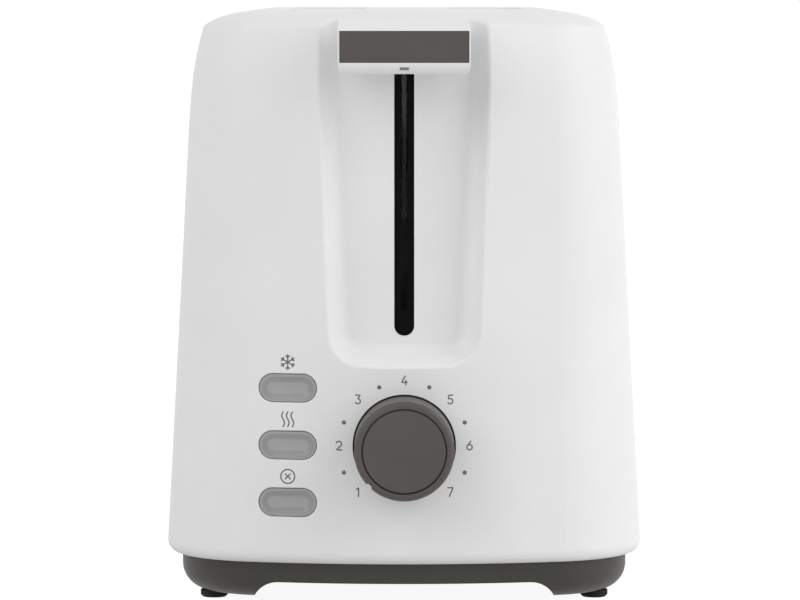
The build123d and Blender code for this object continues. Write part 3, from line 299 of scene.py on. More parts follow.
# %% A moulded surface
def moulded(name, dark, light, rough, grain_mm, relief_mm, drift_mm=35.0, metallic=0.0, gloss_level=0.5):
    """Plastic-like finish: colour and roughness drift over the surface, and fine grain is a bump."""
    made, tree, shader = new_finish(name)
    shader.inputs["Metallic"].default_value = metallic
    shader.inputs["Specular IOR Level"].default_value = gloss_level
    place = add_node(tree, "ShaderNodeTexCoord").outputs["Object"]
    drift = noise_at(tree, place, drift_mm, detail=3.0, roughness=0.55)
    grain = noise_at(tree, place, grain_mm, detail=2.0)
    join(tree, tone_by(tree, drift, dark, light), shader.inputs["Base Color"])
    join(tree, gloss_by(tree, drift, rough), shader.inputs["Roughness"])
    join(tree, relief_by(tree, grain, relief_mm), shader.inputs["Normal"])
    return made


# %% Plastics, rubber, boards and ink
MOULDED_FINISHES = {
    "white_plastic": {
        "dark": (0.785,) * 3, "light": (0.812,) * 3, "rough": (0.50, 0.58),
        "grain_mm": 0.7, "relief_mm": 0.006,
    },
    "dark_plastic": {
        "dark": (0.035, 0.0327, 0.0276), "light": (0.044, 0.0408, 0.0344), "rough": (0.42, 0.52),
        "grain_mm": 0.35, "relief_mm": 0.010, "gloss_level": 0.36,
    },
    "grey_plastic": {
        "dark": (0.074, 0.0655, 0.0615), "light": (0.087, 0.0775, 0.0725), "rough": (0.42, 0.52),
        "grain_mm": 0.35, "relief_mm": 0.008, "gloss_level": 0.35,
    },
    "button_plastic": {
        "dark": (0.34,) * 3, "light": (0.38,) * 3, "rough": (0.22, 0.30),
        "grain_mm": 0.5, "relief_mm": 0.004,
    },
    "rubber": {
        "dark": (0.017, 0.0165, 0.015), "light": (0.025, 0.024, 0.022), "rough": (0.75, 0.88),
        "grain_mm": 0.25, "relief_mm": 0.02, "gloss_level": 0.25,
    },
    "black_plastic": {
        "dark": (0.003,) * 3, "light": (0.005,) * 3, "rough": (0.6, 0.7),
        "grain_mm": 0.3, "relief_mm": 0.01, "gloss_level": 0.06,
    },
    "bush_plastic": {
        "dark": (0.66, 0.64, 0.58), "light": (0.72, 0.70, 0.65), "rough": (0.38, 0.48),
        "grain_mm": 0.4, "relief_mm": 0.006,
    },
    "mica": {
        "dark": (0.42, 0.34, 0.24), "light": (0.62, 0.55, 0.44), "rough": (0.35, 0.6),
        "grain_mm": 1.6, "relief_mm": 0.05, "drift_mm": 6.0,
    },
    "circuit_green": {
        "dark": (0.012, 0.085, 0.03), "light": (0.03, 0.15, 0.06), "rough": (0.25, 0.35),
        "grain_mm": 2.2, "relief_mm": 0.03, "drift_mm": 9.0,
    },
    "coil_copper": {
        "dark": (0.42, 0.17, 0.06), "light": (0.58, 0.26, 0.10), "rough": (0.25, 0.4),
        "grain_mm": 0.4, "relief_mm": 0.05, "drift_mm": 8.0, "metallic": 0.8,
    },
    "grey_ink": {
        "dark": (0.125, 0.122, 0.120), "light": (0.150, 0.147, 0.145), "rough": (0.5, 0.6),
        "grain_mm": 0.15, "relief_mm": 0.004, "drift_mm": 3.0,
    },
}

finishes = {name: moulded(name, **look) for name, look in MOULDED_FINISHES.items()}
print("moulded finishes:", ", ".join(finishes))

# %% [markdown]
# ## Metals
# Rolled sheet and drawn wire carry fine lines along the direction in which they were worked. An
# anisotropic shader could fake their sheen, but it would show no lines close up. Stretching a noise
# along one axis gives real lines: the Mapping node squeezes that axis. The lines drive roughness and a
# small bump, and a broad noise adds the faint heat and handling marks that bare metal always has.

# %% A worked metal
METAL_TONE_RANGE = (0.25, 0.7)
WORK_LINE_MM = 0.12
WORK_LINE_RELIEF_MM = 0.004
WORK_LINE_SQUEEZE = 0.02


def worked_metal(name, dark, light, rough, along, drift_mm=14.0):
    """Metal with fine lines along one axis, X, Y or Z."""
    made, tree, shader = new_finish(name)
    shader.inputs["Metallic"].default_value = 1.0
    squeeze = [1.0, 1.0, 1.0]
    squeeze["XYZ".index(along)] = WORK_LINE_SQUEEZE
    place = add_node(tree, "ShaderNodeTexCoord").outputs["Object"]
    squeezed = add_node(tree, "ShaderNodeMapping", {"Scale": squeeze})
    join(tree, place, squeezed.inputs["Vector"])
    lines = noise_at(tree, squeezed.outputs["Vector"], WORK_LINE_MM, detail=2.0)
    drift = noise_at(tree, place, drift_mm, detail=4.0)
    join(tree, tone_by(tree, drift, dark, light, METAL_TONE_RANGE), shader.inputs["Base Color"])
    join(tree, gloss_by(tree, lines, rough), shader.inputs["Roughness"])
    join(tree, relief_by(tree, lines, WORK_LINE_RELIEF_MM), shader.inputs["Normal"])
    return made


# %% Steels, aluminium and alloys
METAL_FINISHES = {
    "sheet_steel": {
        "dark": (0.33, 0.33, 0.32), "light": (0.42, 0.42, 0.41), "rough": (0.50, 0.62),
        "along": "Y", "drift_mm": 30.0,
    },
    "bright_aluminium": {
        "dark": (0.70,) * 3, "light": (0.84, 0.84, 0.85), "rough": (0.12, 0.24), "along": "Y",
    },
    "plated_wire": {
        "dark": (0.55, 0.54, 0.52), "light": (0.74, 0.74, 0.73), "rough": (0.16, 0.28), "along": "Z",
    },
    "screw_steel": {
        "dark": (0.40, 0.40, 0.38), "light": (0.62, 0.62, 0.60), "rough": (0.24, 0.36), "along": "Z",
    },
    "heater_alloy": {
        "dark": (0.22, 0.20, 0.19), "light": (0.42, 0.39, 0.36), "rough": (0.35, 0.5), "along": "Y",
    },
    "spring_steel": {
        "dark": (0.36,) * 3, "light": (0.55,) * 3, "rough": (0.22, 0.34), "along": "Z",
    },
    "magnet_iron": {
        "dark": (0.34, 0.34, 0.33), "light": (0.50, 0.50, 0.48), "rough": (0.3, 0.45), "along": "X",
    },
}

finishes.update({name: worked_metal(name, **look) for name, look in METAL_FINISHES.items()})
print("metal finishes:", ", ".join(METAL_FINISHES))

# %% [markdown]
# ## Finishes onto the solids
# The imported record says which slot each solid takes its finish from. Finishes could be set piece by
# piece, but a loop that only swaps the plain slot colours for the finishes above can't forget one. The
# solids' own meshes stay as they are.

# %% Give every solid its finish
for solid in nodes.values():
    slot_name = solid.data.materials[0].name.split(".")[0]
    solid.data.materials.clear()
    solid.data.materials.append(finishes[slot_name])
print("dressed", len(nodes), "solids")

# %% [markdown]
# ## Painted shade behind the lever slot
# Through the lever slot only dark steel can be made out: the lever's arm, and under it the plate that
# carries the works. Deep in the slot they lie in shade, so both get the worked metal with a low tone,
# as painted shade; the worked metal keeps the steel's lines. Only the two pieces that show there get
# it. Near the handle, where light reaches into the top of the slot, the arm's tone climbs with height to
# that of bare steel, as a painted highlight. A colour that lies over a finish is needed again further
# on, so a helper lays it.

# %% Paint shade on the plate behind the slot
# The plate's low tone is painted shade for the dark inside behind the lever slot.
painted_shade_steel = worked_metal("painted_shade_steel", (0.12,) * 3, (0.17,) * 3, (0.42, 0.55), "Z")
nodes["front_chassis_plate"].data.materials[0] = painted_shade_steel
print("blackened the front plate")

# %% A colour laid over a finish
# Sockets of a Mix node that mixes colours
MIX_FACTOR = 0
MIX_UNDER = 6
MIX_OVER = 7
MIX_RESULT = 2


def own_copy(finish, name):
    """Copies a finish for one piece; returns the copy and its node tree."""
    made = finish.copy()
    made.name = name
    return made, made.node_tree


def cover(tree, factor, colour, blend_type="MIX"):
    """Lays a colour over the finish's own one, as far as a factor socket says."""
    base_color = tree.nodes["Principled BSDF"].inputs["Base Color"]
    own_colour = base_color.links[0].from_socket
    mix = add_node(tree, "ShaderNodeMix", {MIX_OVER: colour}, data_type="RGBA", blend_type=blend_type)
    join(tree, factor, mix.inputs[MIX_FACTOR])
    join(tree, own_colour, mix.inputs[MIX_UNDER])
    join(tree, mix.outputs[MIX_RESULT], base_color)


# %% Paint light on the arm near the handle
PAINTED_LIGHT_START = 28 * MM
PAINTED_LIGHT_FULL = 50 * MM
PAINTED_LIGHT_TONE = (0.55, 0.55, 0.54, 1.0)

arm_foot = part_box("lever_arm")[0].z
rubbed_steel, tree = own_copy(painted_shade_steel, "rubbed_steel")
place = add_node(tree, "ShaderNodeTexCoord")
parts = add_node(tree, "ShaderNodeSeparateXYZ")
# The arm's tone climbs with height as a painted highlight where light reaches the top of the slot; lower
# down it keeps the painted shade.
painted_light_fade = add_node(tree, "ShaderNodeMapRange", {
    "From Min": arm_foot + PAINTED_LIGHT_START,
    "From Max": arm_foot + PAINTED_LIGHT_FULL,
})
join(tree, place.outputs["Object"], parts.inputs[0])
join(tree, parts.outputs["Z"], painted_light_fade.inputs["Value"])
cover(tree, painted_light_fade.outputs["Result"], PAINTED_LIGHT_TONE)
nodes["lever_arm"].data.materials[0] = rubbed_steel
print("arm rubbed bright from", round((arm_foot + PAINTED_LIGHT_START) / MM), "mm up")

# %% [markdown]
# ## Painted shade on the buttons
# The buttons are moulded in a cloudy grey plastic with a finger dish in the face. Where the dish
# slopes, it is shaded, so a soft darker band of painted shade runs round the floor of the dish. The
# band could be painted onto a map by hand. Here it comes from the distance to the line along the
# middle of the button, so that it has the button's own outline with round ends. Lengths are counted
# in half heights of the button.

# %% Paint shade on the slope of each dish
BUTTONS = ("defrost_button", "reheat_button", "stop_button")
BUTTON_LENGTH = 19.6 * MM
BUTTON_HEIGHT = 9.4 * MM
DISH_SHADE = 0.80
DISH_SHADE_BAND = ((0.32, 0.0), (0.52, 1.0), (0.74, 1.0), (0.95, 0.0))

half_height = BUTTON_HEIGHT / 2
line_reach = (BUTTON_LENGTH - BUTTON_HEIGHT) / 2 / half_height
for name in BUTTONS:
    low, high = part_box(name)
    middle = (low + high) / 2 / half_height
    dish_shaded, tree = own_copy(finishes["button_plastic"], f"{name}_plastic")
    place = add_node(tree, "ShaderNodeTexCoord")
    centred = add_node(tree, "ShaderNodeMapping", {
        "Location": (-middle.x, 0.0, -middle.z),
        "Scale": (1 / half_height, 0.0, 1 / half_height),
    })
    mirrored = add_node(tree, "ShaderNodeVectorMath", operation="ABSOLUTE")
    past_ends = add_node(tree, "ShaderNodeVectorMath", {1: (line_reach, 0.0, 0.0)}, operation="SUBTRACT")
    from_line = add_node(tree, "ShaderNodeVectorMath", {1: (0.0, 0.0, 0.0)}, operation="MAXIMUM")
    distance = add_node(tree, "ShaderNodeVectorMath", operation="LENGTH")
    dish_shade_band = add_node(tree, "ShaderNodeValToRGB")
    dish_shade_band.color_ramp.interpolation = "EASE"
    set_ramp(dish_shade_band, [(position, grey(level)) for position, level in DISH_SHADE_BAND])
    join(tree, place.outputs["Object"], centred.inputs["Vector"])
    join(tree, centred.outputs["Vector"], mirrored.inputs[0])
    join(tree, mirrored.outputs["Vector"], past_ends.inputs[0])
    join(tree, past_ends.outputs["Vector"], from_line.inputs[0])
    join(tree, from_line.outputs["Vector"], distance.inputs[0])
    join(tree, distance.outputs["Value"], dish_shade_band.inputs["Fac"])
    # The darker band round the dish's floor is painted shade on the slopes.
    cover(tree, dish_shade_band.outputs["Color"], grey(DISH_SHADE), "MULTIPLY")
    nodes[name].data.materials[0] = dish_shaded
print("dish_shaded", ", ".join(BUTTONS))

# %% [markdown]
# ## Painted shade in the dial's pocket
# Round the foot of the dial is a narrow gap in the shell. It leads into the dark inside, so it reads as
# a thin black line of shade over the top of the knob. The gap could be cut deeper, but the solid's mesh
# is left alone here. The shell gets a copy of the white finish instead, in which everything at the front
# that lies within the pocket's radius of the dial's axis is painted black, as painted shade.

# %% Paint shade in the pocket
POCKET_RADIUS = 17.72 * MM
POCKET_SHADE_TONE = 0.01

dial_low, dial_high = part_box("dial_knob")
dial_middle = (dial_low + dial_high) / 2
dial_axis = (dial_middle.x, 0.0, dial_middle.z)
shell_white, tree = own_copy(finishes["white_plastic"], "white_shell")
place = add_node(tree, "ShaderNodeTexCoord")
from_axis = add_node(tree, "ShaderNodeVectorMath", {1: dial_axis}, operation="SUBTRACT")
across = add_node(tree, "ShaderNodeVectorMath", {1: (1.0, 0.0, 1.0)}, operation="MULTIPLY")
distance = add_node(tree, "ShaderNodeVectorMath", operation="LENGTH")
near = add_node(tree, "ShaderNodeMath", {1: POCKET_RADIUS}, operation="LESS_THAN")
parts = add_node(tree, "ShaderNodeSeparateXYZ")
front = add_node(tree, "ShaderNodeMath", {1: 0.0}, operation="LESS_THAN")
pocket_shade_mask = add_node(tree, "ShaderNodeMath", operation="MULTIPLY")
join(tree, place.outputs["Object"], from_axis.inputs[0])
join(tree, from_axis.outputs["Vector"], across.inputs[0])
join(tree, across.outputs["Vector"], distance.inputs[0])
join(tree, distance.outputs["Value"], near.inputs[0])
join(tree, from_axis.outputs["Vector"], parts.inputs[0])
join(tree, parts.outputs["Y"], front.inputs[0])
join(tree, near.outputs[0], pocket_shade_mask.inputs[0])
join(tree, front.outputs[0], pocket_shade_mask.inputs[1])
# Everything in the pocket is painted black as painted shade.
cover(tree, pocket_shade_mask.outputs[0], grey(POCKET_SHADE_TONE))
nodes["body_shell"].data.materials[0] = shell_white
print("pocket dark within", round(POCKET_RADIUS / MM, 2), "mm of the dial's axis")

# %% [markdown]
# ## Growing repeated forms
# Marks, windings, wire grids and coils repeat a small form along a path or a row. Array and curve
# modifiers could do some of it, but a Geometry Nodes tree does all of it and has named sizes as its
# inputs. `grow` runs a tree over a start mesh, keeps the result as a plain mesh and takes the modifier
# off again, so that the result is an ordinary piece.


# %% Start and end a tree
def new_tree(name, inputs):
    """Starts a tree with named inputs; returns it with its two end nodes and the keys of the inputs."""
    tree = bpy.data.node_groups.new(name, "GeometryNodeTree")
    tree.interface.new_socket("Geometry", in_out="INPUT", socket_type="NodeSocketGeometry")
    tree.interface.new_socket("Geometry", in_out="OUTPUT", socket_type="NodeSocketGeometry")
    keys = {}
    for label, kind in inputs.items():
        socket = tree.interface.new_socket(label, in_out="INPUT", socket_type=f"NodeSocket{kind}")
        keys[label] = socket.identifier
    return tree, tree.nodes.new("NodeGroupInput"), tree.nodes.new("NodeGroupOutput"), keys


def finish_tree(tree, geometry, source, target):
    """Ends a tree: real geometry with smooth shading and the material that came in."""
    real = add_node(tree, "GeometryNodeRealizeInstances")
    smooth = add_node(tree, "GeometryNodeSetShadeSmooth")
    coat = add_node(tree, "GeometryNodeSetMaterial")
    join(tree, geometry, real.inputs["Geometry"])
    join(tree, real.outputs[0], smooth.inputs[0])
    join(tree, smooth.outputs[0], coat.inputs["Geometry"])
    join(tree, source.outputs["Material"], coat.inputs["Material"])
    join(tree, coat.outputs[0], target.inputs[0])
    print("tree", tree.name, "with", len(tree.nodes), "nodes")


# %% Grow a piece with a tree
def grow(name, start, tree, keys, values):
    """Runs a tree over a start mesh with the given inputs and returns the result as a plain mesh piece."""
    piece = add_object(name, start)
    modifier = piece.modifiers.new("grow", "NODES")
    modifier.node_group = tree
    for label, value in values.items():
        modifier[keys[label]] = value
    graph = bpy.context.evaluated_depsgraph_get()
    grown = bpy.data.meshes.new_from_object(piece.evaluated_get(graph), depsgraph=graph)
    piece.modifiers.clear()
    piece.data = grown
    print(name, len(grown.polygons), "faces")
    return piece


# %% [markdown]
# ## Printed marks
# The dial's scale and the button signs are pad printed: a soft pad lays a film of grey ink onto the
# curved front. A picture of the print could be projected onto the shell, but it would blur close up.
# Here the strokes are drawn flat, as a sign writer would, then given the width of a pen line and
# rounded ends. Last, every point is thrown straight back onto the shell with a ray, so that the print
# follows the moulding. The scale has plain numbers, and the buttons have common signs: a snowflake,
# heat waves and a crossed circle.


# %% Strokes of the numbers
def arc(middle_x, middle_y, radius, start, end, steps=16):
    """Points along a circular arc, from one angle to another in degrees."""
    turns = [math.radians(start + (end - start) * step / steps) for step in range(steps + 1)]
    return [(middle_x + radius * math.cos(turn), middle_y + radius * math.sin(turn)) for turn in turns]


# Each number in a box that is 1 high and about 0.64 wide
NUMBERS = {
    1: [[(0.14, 0.80), (0.38, 1.0), (0.38, 0.0)]],
    2: [arc(0.31, 0.69, 0.31, 160, -38) + [(0.02, 0.0), (0.64, 0.0)]],
    3: [[(0.04, 1.0), (0.58, 1.0), (0.29, 0.60)] + arc(0.29, 0.30, 0.30, 90, -150)],
    4: [[(0.42, 1.0), (0.02, 0.28), (0.66, 0.28)], [(0.50, 0.54), (0.50, 0.0)]],
    5: [[(0.56, 1.0), (0.12, 1.0), (0.07, 0.56)] + arc(0.28, 0.31, 0.31, 125, -145)],
    6: [arc(0.31, 0.31, 0.31, 0, 360, 28), [(0.46, 1.0)] + arc(0.31, 0.31, 0.31, 150, 200, 4)],
    7: [[(0.02, 1.0), (0.62, 1.0), (0.2, 0.0)]],
}
print("numbers", min(NUMBERS), "to", max(NUMBERS))

# %% Strokes of the button signs
# Signs in a box that is 1 high around its middle
FLAKE_ARMS = 6
FLAKE_ARM = [[(0.0, 0.0), (0.0, 0.5)], [(-0.12, 0.43), (0.0, 0.31), (0.12, 0.43)]]
WAVE_POINTS = 20
WAVE_SWING = 0.09
WAVE_PLACES = (-0.32, 0.0, 0.32)
RING_RADIUS = 0.48
RING_STEPS = 32
CROSS = 0.17


def turned(strokes, angle):
    """Strokes turned about the middle by an angle in degrees."""
    c, s = math.cos(math.radians(angle)), math.sin(math.radians(angle))
    return [[(c * x - s * y, s * x + c * y) for x, y in stroke] for stroke in strokes]


def wave(middle_x):
    """Points up one heat wave."""
    rises = [step / WAVE_POINTS for step in range(WAVE_POINTS + 1)]
    return [(middle_x + WAVE_SWING * math.sin(2 * math.pi * rise), rise - 0.5) for rise in rises]


arm_angles = [360 / FLAKE_ARMS * step for step in range(FLAKE_ARMS)]
snowflake = [stroke for angle in arm_angles for stroke in turned(FLAKE_ARM, angle)]
heat_waves = [wave(middle_x) for middle_x in WAVE_PLACES]
crossed_circle = [
    arc(0, 0, RING_RADIUS, 0, 360, RING_STEPS),
    [(-CROSS, -CROSS), (CROSS, CROSS)],
    [(-CROSS, CROSS), (CROSS, -CROSS)],
]
print("signs of", len(snowflake), len(heat_waves), "and", len(crossed_circle), "strokes")

# %% Lay strokes into one drawing
points, edges = [], []


def lay(strokes, middle, size, about=(0.0, 0.0)):
    """Adds strokes to the drawing, scaled to a size and moved to a middle."""
    for stroke in strokes:
        first = len(points)
        for x, y in stroke:
            points.append((middle[0] + size * (x - about[0]), middle[1] + size * (y - about[1]), 0.0))
        edges.extend((first + step, first + step + 1) for step in range(len(stroke) - 1))


# %% Lay out the marks in the plane of the front
NUMBER_HEIGHT = 2.95 * MM
NUMBER_RISE = 0.65 * MM
NUMBER_MIDDLE = (0.32, 0.5)
SCALE_RADIUS = 22.4 * MM
SCALE_DROP = 0.5 * MM
SCALE_START = 225.0
SCALE_STEP = 45.0
SIGN_HEIGHT = 5.0 * MM
SIGN_RISE = 8.9 * MM
DOT = [[(0.0, 0.0)]]


def on_scale(angle):
    """The point of the dial's scale at an angle in degrees."""
    turn = math.radians(angle)
    across = dial_middle.x + SCALE_RADIUS * math.cos(turn)
    return across, dial_middle.z - SCALE_DROP + SCALE_RADIUS * math.sin(turn)


for number, strokes in NUMBERS.items():
    turn = SCALE_START - SCALE_STEP * (number - 1)
    spot_x, spot_y = on_scale(turn)
    lay(strokes, (spot_x, spot_y + NUMBER_RISE), NUMBER_HEIGHT, NUMBER_MIDDLE)
    if number < len(NUMBERS):
        lay(DOT, on_scale(turn - SCALE_STEP / 2), NUMBER_HEIGHT)
for button, sign in zip(BUTTONS, (snowflake, heat_waves, crossed_circle)):
    low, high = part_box(button)
    lay(sign, ((low.x + high.x) / 2, (low.z + high.z) / 2 + SIGN_RISE), SIGN_HEIGHT)
drawing = bpy.data.meshes.new("drawing")
drawing.from_pydata(points, edges, [])
print("drawn", len(edges), "short lines")

# %% Tree that prints a drawing: pen lines
PEN_SIDES = 10

print_tree, source, target, print_keys = new_tree("print_on_surface", {
    "Surface": "Object", "Line width": "Float", "Dot width": "Float", "Ink depth": "Float",
    "Sampling": "Float", "Material": "Material",
})
tree = print_tree


def half_of(tree, socket):
    """Half of a width, which is what a circle or ball of that width has as its radius."""
    halved = add_node(tree, "ShaderNodeMath", {1: 0.5}, operation="MULTIPLY")
    join(tree, socket, halved.inputs[0])
    return halved.outputs[0]


lines = add_node(tree, "GeometryNodeMeshToCurve")
fine = add_node(tree, "GeometryNodeResampleCurve", mode="LENGTH")
tip = add_node(tree, "GeometryNodeCurvePrimitiveCircle", {"Resolution": PEN_SIDES})
drawn = add_node(tree, "GeometryNodeCurveToMesh", {"Fill Caps": True})
join(tree, source.outputs["Geometry"], lines.inputs["Mesh"])
join(tree, lines.outputs[0], fine.inputs["Curve"])
join(tree, source.outputs["Sampling"], fine.inputs["Length"])
join(tree, half_of(tree, source.outputs["Line width"]), tip.inputs["Radius"])
join(tree, fine.outputs[0], drawn.inputs["Curve"])
join(tree, tip.outputs[0], drawn.inputs["Profile Curve"])
print("pen lines take", len(tree.nodes), "nodes")

# %% Tree that prints a drawing: line ends and dots
BALL_SEGMENTS = 20
BALL_RINGS = 10
# A line's end has one neighbour, and a dot has none
BALL_WIDTHS = ((1, "Line width"), (0, "Dot width"))
# Sockets of a Compare node that compares whole numbers
COMPARE_FIRST = 2
COMPARE_SECOND = 3

marks = add_node(tree, "GeometryNodeJoinGeometry")
neighbours = add_node(tree, "GeometryNodeInputMeshVertexNeighbors")
for count, width in BALL_WIDTHS:
    alike = add_node(tree, "FunctionNodeCompare", data_type="INT", operation="EQUAL")
    alike.inputs[COMPARE_SECOND].default_value = count
    spots = add_node(tree, "GeometryNodeMeshToPoints")
    ball = add_node(tree, "GeometryNodeMeshUVSphere", {"Segments": BALL_SEGMENTS, "Rings": BALL_RINGS})
    placed = add_node(tree, "GeometryNodeInstanceOnPoints")
    join(tree, neighbours.outputs["Vertex Count"], alike.inputs[COMPARE_FIRST])
    join(tree, source.outputs["Geometry"], spots.inputs["Mesh"])
    join(tree, alike.outputs[0], spots.inputs["Selection"])
    join(tree, half_of(tree, source.outputs[width]), ball.inputs["Radius"])
    join(tree, spots.outputs[0], placed.inputs["Points"])
    join(tree, ball.outputs["Mesh"], placed.inputs["Instance"])
    join(tree, placed.outputs[0], marks.inputs[0])
join(tree, drawn.outputs[0], marks.inputs[0])
solid_marks = add_node(tree, "GeometryNodeRealizeInstances")
join(tree, marks.outputs[0], solid_marks.inputs[0])
print("with line ends and dots", len(tree.nodes), "nodes")

# %% Tree that prints a drawing: back onto the surface
RAY_RUN_UP = 0.1
RAY_LENGTH = 1.0

flat = add_node(tree, "ShaderNodeSeparateXYZ")
where = add_node(tree, "GeometryNodeInputPosition")
start = add_node(tree, "ShaderNodeCombineXYZ", {"Y": shell_low.y - RAY_RUN_UP})
surface = add_node(tree, "GeometryNodeObjectInfo", transform_space="RELATIVE")
ray = add_node(tree, "GeometryNodeRaycast", {"Ray Direction": (0.0, 1.0, 0.0), "Ray Length": RAY_LENGTH})
depth = add_node(tree, "ShaderNodeMath", operation="MULTIPLY")
depth_share = add_node(tree, "ShaderNodeMath", operation="DIVIDE")
outward = add_node(tree, "ShaderNodeMath", {1: -1.0}, operation="MULTIPLY")
lift = add_node(tree, "ShaderNodeCombineXYZ")
landed = add_node(tree, "ShaderNodeVectorMath", operation="ADD")
moved = add_node(tree, "GeometryNodeSetPosition")
join(tree, where.outputs[0], flat.inputs[0])
join(tree, flat.outputs["X"], start.inputs["X"])
join(tree, flat.outputs["Y"], start.inputs["Z"])
join(tree, source.outputs["Surface"], surface.inputs["Object"])
join(tree, surface.outputs["Geometry"], ray.inputs["Target Geometry"])
join(tree, start.outputs[0], ray.inputs["Source Position"])
join(tree, source.outputs["Ink depth"], depth_share.inputs[0])
join(tree, source.outputs["Line width"], depth_share.inputs[1])
join(tree, flat.outputs["Z"], depth.inputs[0])
join(tree, depth_share.outputs[0], depth.inputs[1])
join(tree, depth.outputs[0], outward.inputs[0])
join(tree, outward.outputs[0], lift.inputs["Y"])
join(tree, ray.outputs["Hit Position"], landed.inputs[0])
join(tree, lift.outputs[0], landed.inputs[1])
join(tree, solid_marks.outputs[0], moved.inputs["Geometry"])
join(tree, landed.outputs[0], moved.inputs["Position"])
finish_tree(tree, moved.outputs[0], source, target)

# %% Print the marks
INK_LINE_WIDTH = 0.48 * MM
INK_DOT_WIDTH = 1.5 * MM
INK_DEPTH = 0.06 * MM
INK_SAMPLING = 0.25 * MM

printed_marks = grow("printed_marks", drawing, print_tree, print_keys, {
    "Surface": nodes["body_shell"], "Line width": INK_LINE_WIDTH, "Dot width": INK_DOT_WIDTH,
    "Ink depth": INK_DEPTH, "Sampling": INK_SAMPLING, "Material": finishes["grey_ink"],
})
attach(printed_marks, "housing")

# %% [markdown]
# ## Heating ribbon
# A toaster's element is a flat nickel-chrome ribbon wound round a mica board: level runs on both faces
# that fold round the board's ends. Rings in a row would look alike from afar, but the real ribbon is
# one unbroken length. The path is one line of points, run by run, with a half circle at each end. The
# tree turns that line into a ribbon that stands on edge against the board, so its flat side faces the
# bread.

# %% Tree that lays a ribbon along a path
ribbon_tree, source, target, ribbon_keys = new_tree("ribbon_on_path", {
    "Ribbon width": "Float", "Ribbon thickness": "Float", "Material": "Material",
})
tree = ribbon_tree
route = add_node(tree, "GeometryNodeMeshToCurve")
upright = add_node(tree, "GeometryNodeSetCurveNormal", mode="Z_UP")
section = add_node(tree, "GeometryNodeCurvePrimitiveQuadrilateral")
ribbon = add_node(tree, "GeometryNodeCurveToMesh", {"Fill Caps": True})
join(tree, source.outputs["Geometry"], route.inputs["Mesh"])
join(tree, route.outputs[0], upright.inputs["Curve"])
join(tree, source.outputs["Ribbon thickness"], section.inputs["Width"])
join(tree, source.outputs["Ribbon width"], section.inputs["Height"])
join(tree, upright.outputs[0], ribbon.inputs["Curve"])
join(tree, section.outputs[0], ribbon.inputs["Profile Curve"])
finish_tree(tree, ribbon.outputs[0], source, target)

# %% The path round one board
RIBBON_RUNS = 24
RIBBON_WIDTH = 1.2 * MM
RIBBON_THICKNESS = 0.25 * MM
FOLD_STEPS = 8


def winding_path(side):
    """Points along the ribbon of one board, run by run from the bottom to the top."""
    board_low, board_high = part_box(f"{side}_heater_board")
    wire_low, wire_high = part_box(f"{side}_heater_wire")
    board_x = (board_low.x + board_high.x) / 2
    offset = (board_high.x - board_low.x) / 2 + RIBBON_THICKNESS / 2
    fold_reach = offset + RIBBON_THICKNESS / 2
    ends = {1: wire_high.y - fold_reach, -1: wire_low.y + fold_reach}
    first_height = wire_low.z + RIBBON_WIDTH / 2
    step = (wire_high.z - wire_low.z - RIBBON_WIDTH) / (RIBBON_RUNS - 1)
    path = []
    for run in range(RIBBON_RUNS):
        face = 1 - 2 * (run % 2)
        height = first_height + run * step
        path.append((board_x + face * offset, ends[-face], height))
        folds = FOLD_STEPS if run < RIBBON_RUNS - 1 else 0
        for fold in range(folds + 1):
            turn = math.pi * fold / FOLD_STEPS
            path.append((
                board_x + face * offset * math.cos(turn),
                ends[face] + face * offset * math.sin(turn),
                height + step * fold / FOLD_STEPS,
            ))
    return path


# %% Wind the three boards
for side in ("left", "centre", "right"):
    route_points = winding_path(side)
    route_mesh = bpy.data.meshes.new(f"{side}_route")
    route_mesh.from_pydata(route_points, [(i, i + 1) for i in range(len(route_points) - 1)], [])
    element = grow(f"{side}_heater_ribbon", route_mesh, ribbon_tree, ribbon_keys, {
        "Ribbon width": RIBBON_WIDTH,
        "Ribbon thickness": RIBBON_THICKNESS,
        "Material": finishes["heater_alloy"],
    })
    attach(element, "housing")
    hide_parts(f"{side}_heater_wire")

# %% [markdown]
# ## Bread guards
# Each slice is held upright by two grids of round nickel-plated wire. A row of uprights is welded to a
# pivot rod below and a rail above. Copies could be placed in a loop, but then each wire would be a mesh
# of its own. The tree stands one wire on every point of a row, adds the two level rods, and gives one
# mesh for each guard.

# %% Tree that builds a wire grid
WIRE_SIDES = 14
ROD_SIDES = 16

grid_tree, source, target, grid_keys = new_tree("wire_grid", {
    "Wires": "Int", "Pitch": "Vector", "First wire": "Vector", "Wire radius": "Float",
    "Wire length": "Float", "Rod length": "Float", "Pivot": "Vector", "Pivot radius": "Float",
    "Rail": "Vector", "Rail radius": "Float", "Material": "Material",
})
tree = grid_tree
row = add_node(tree, "GeometryNodeMeshLine", mode="OFFSET")
wire = add_node(tree, "GeometryNodeMeshCylinder", {"Vertices": WIRE_SIDES})
standing = add_node(tree, "GeometryNodeInstanceOnPoints")
grid = add_node(tree, "GeometryNodeJoinGeometry")
join(tree, source.outputs["Wires"], row.inputs["Count"])
join(tree, source.outputs["First wire"], row.inputs["Start Location"])
join(tree, source.outputs["Pitch"], row.inputs["Offset"])
join(tree, source.outputs["Wire radius"], wire.inputs["Radius"])
join(tree, source.outputs["Wire length"], wire.inputs["Depth"])
join(tree, row.outputs[0], standing.inputs["Points"])
join(tree, wire.outputs["Mesh"], standing.inputs["Instance"])
join(tree, standing.outputs[0], grid.inputs[0])
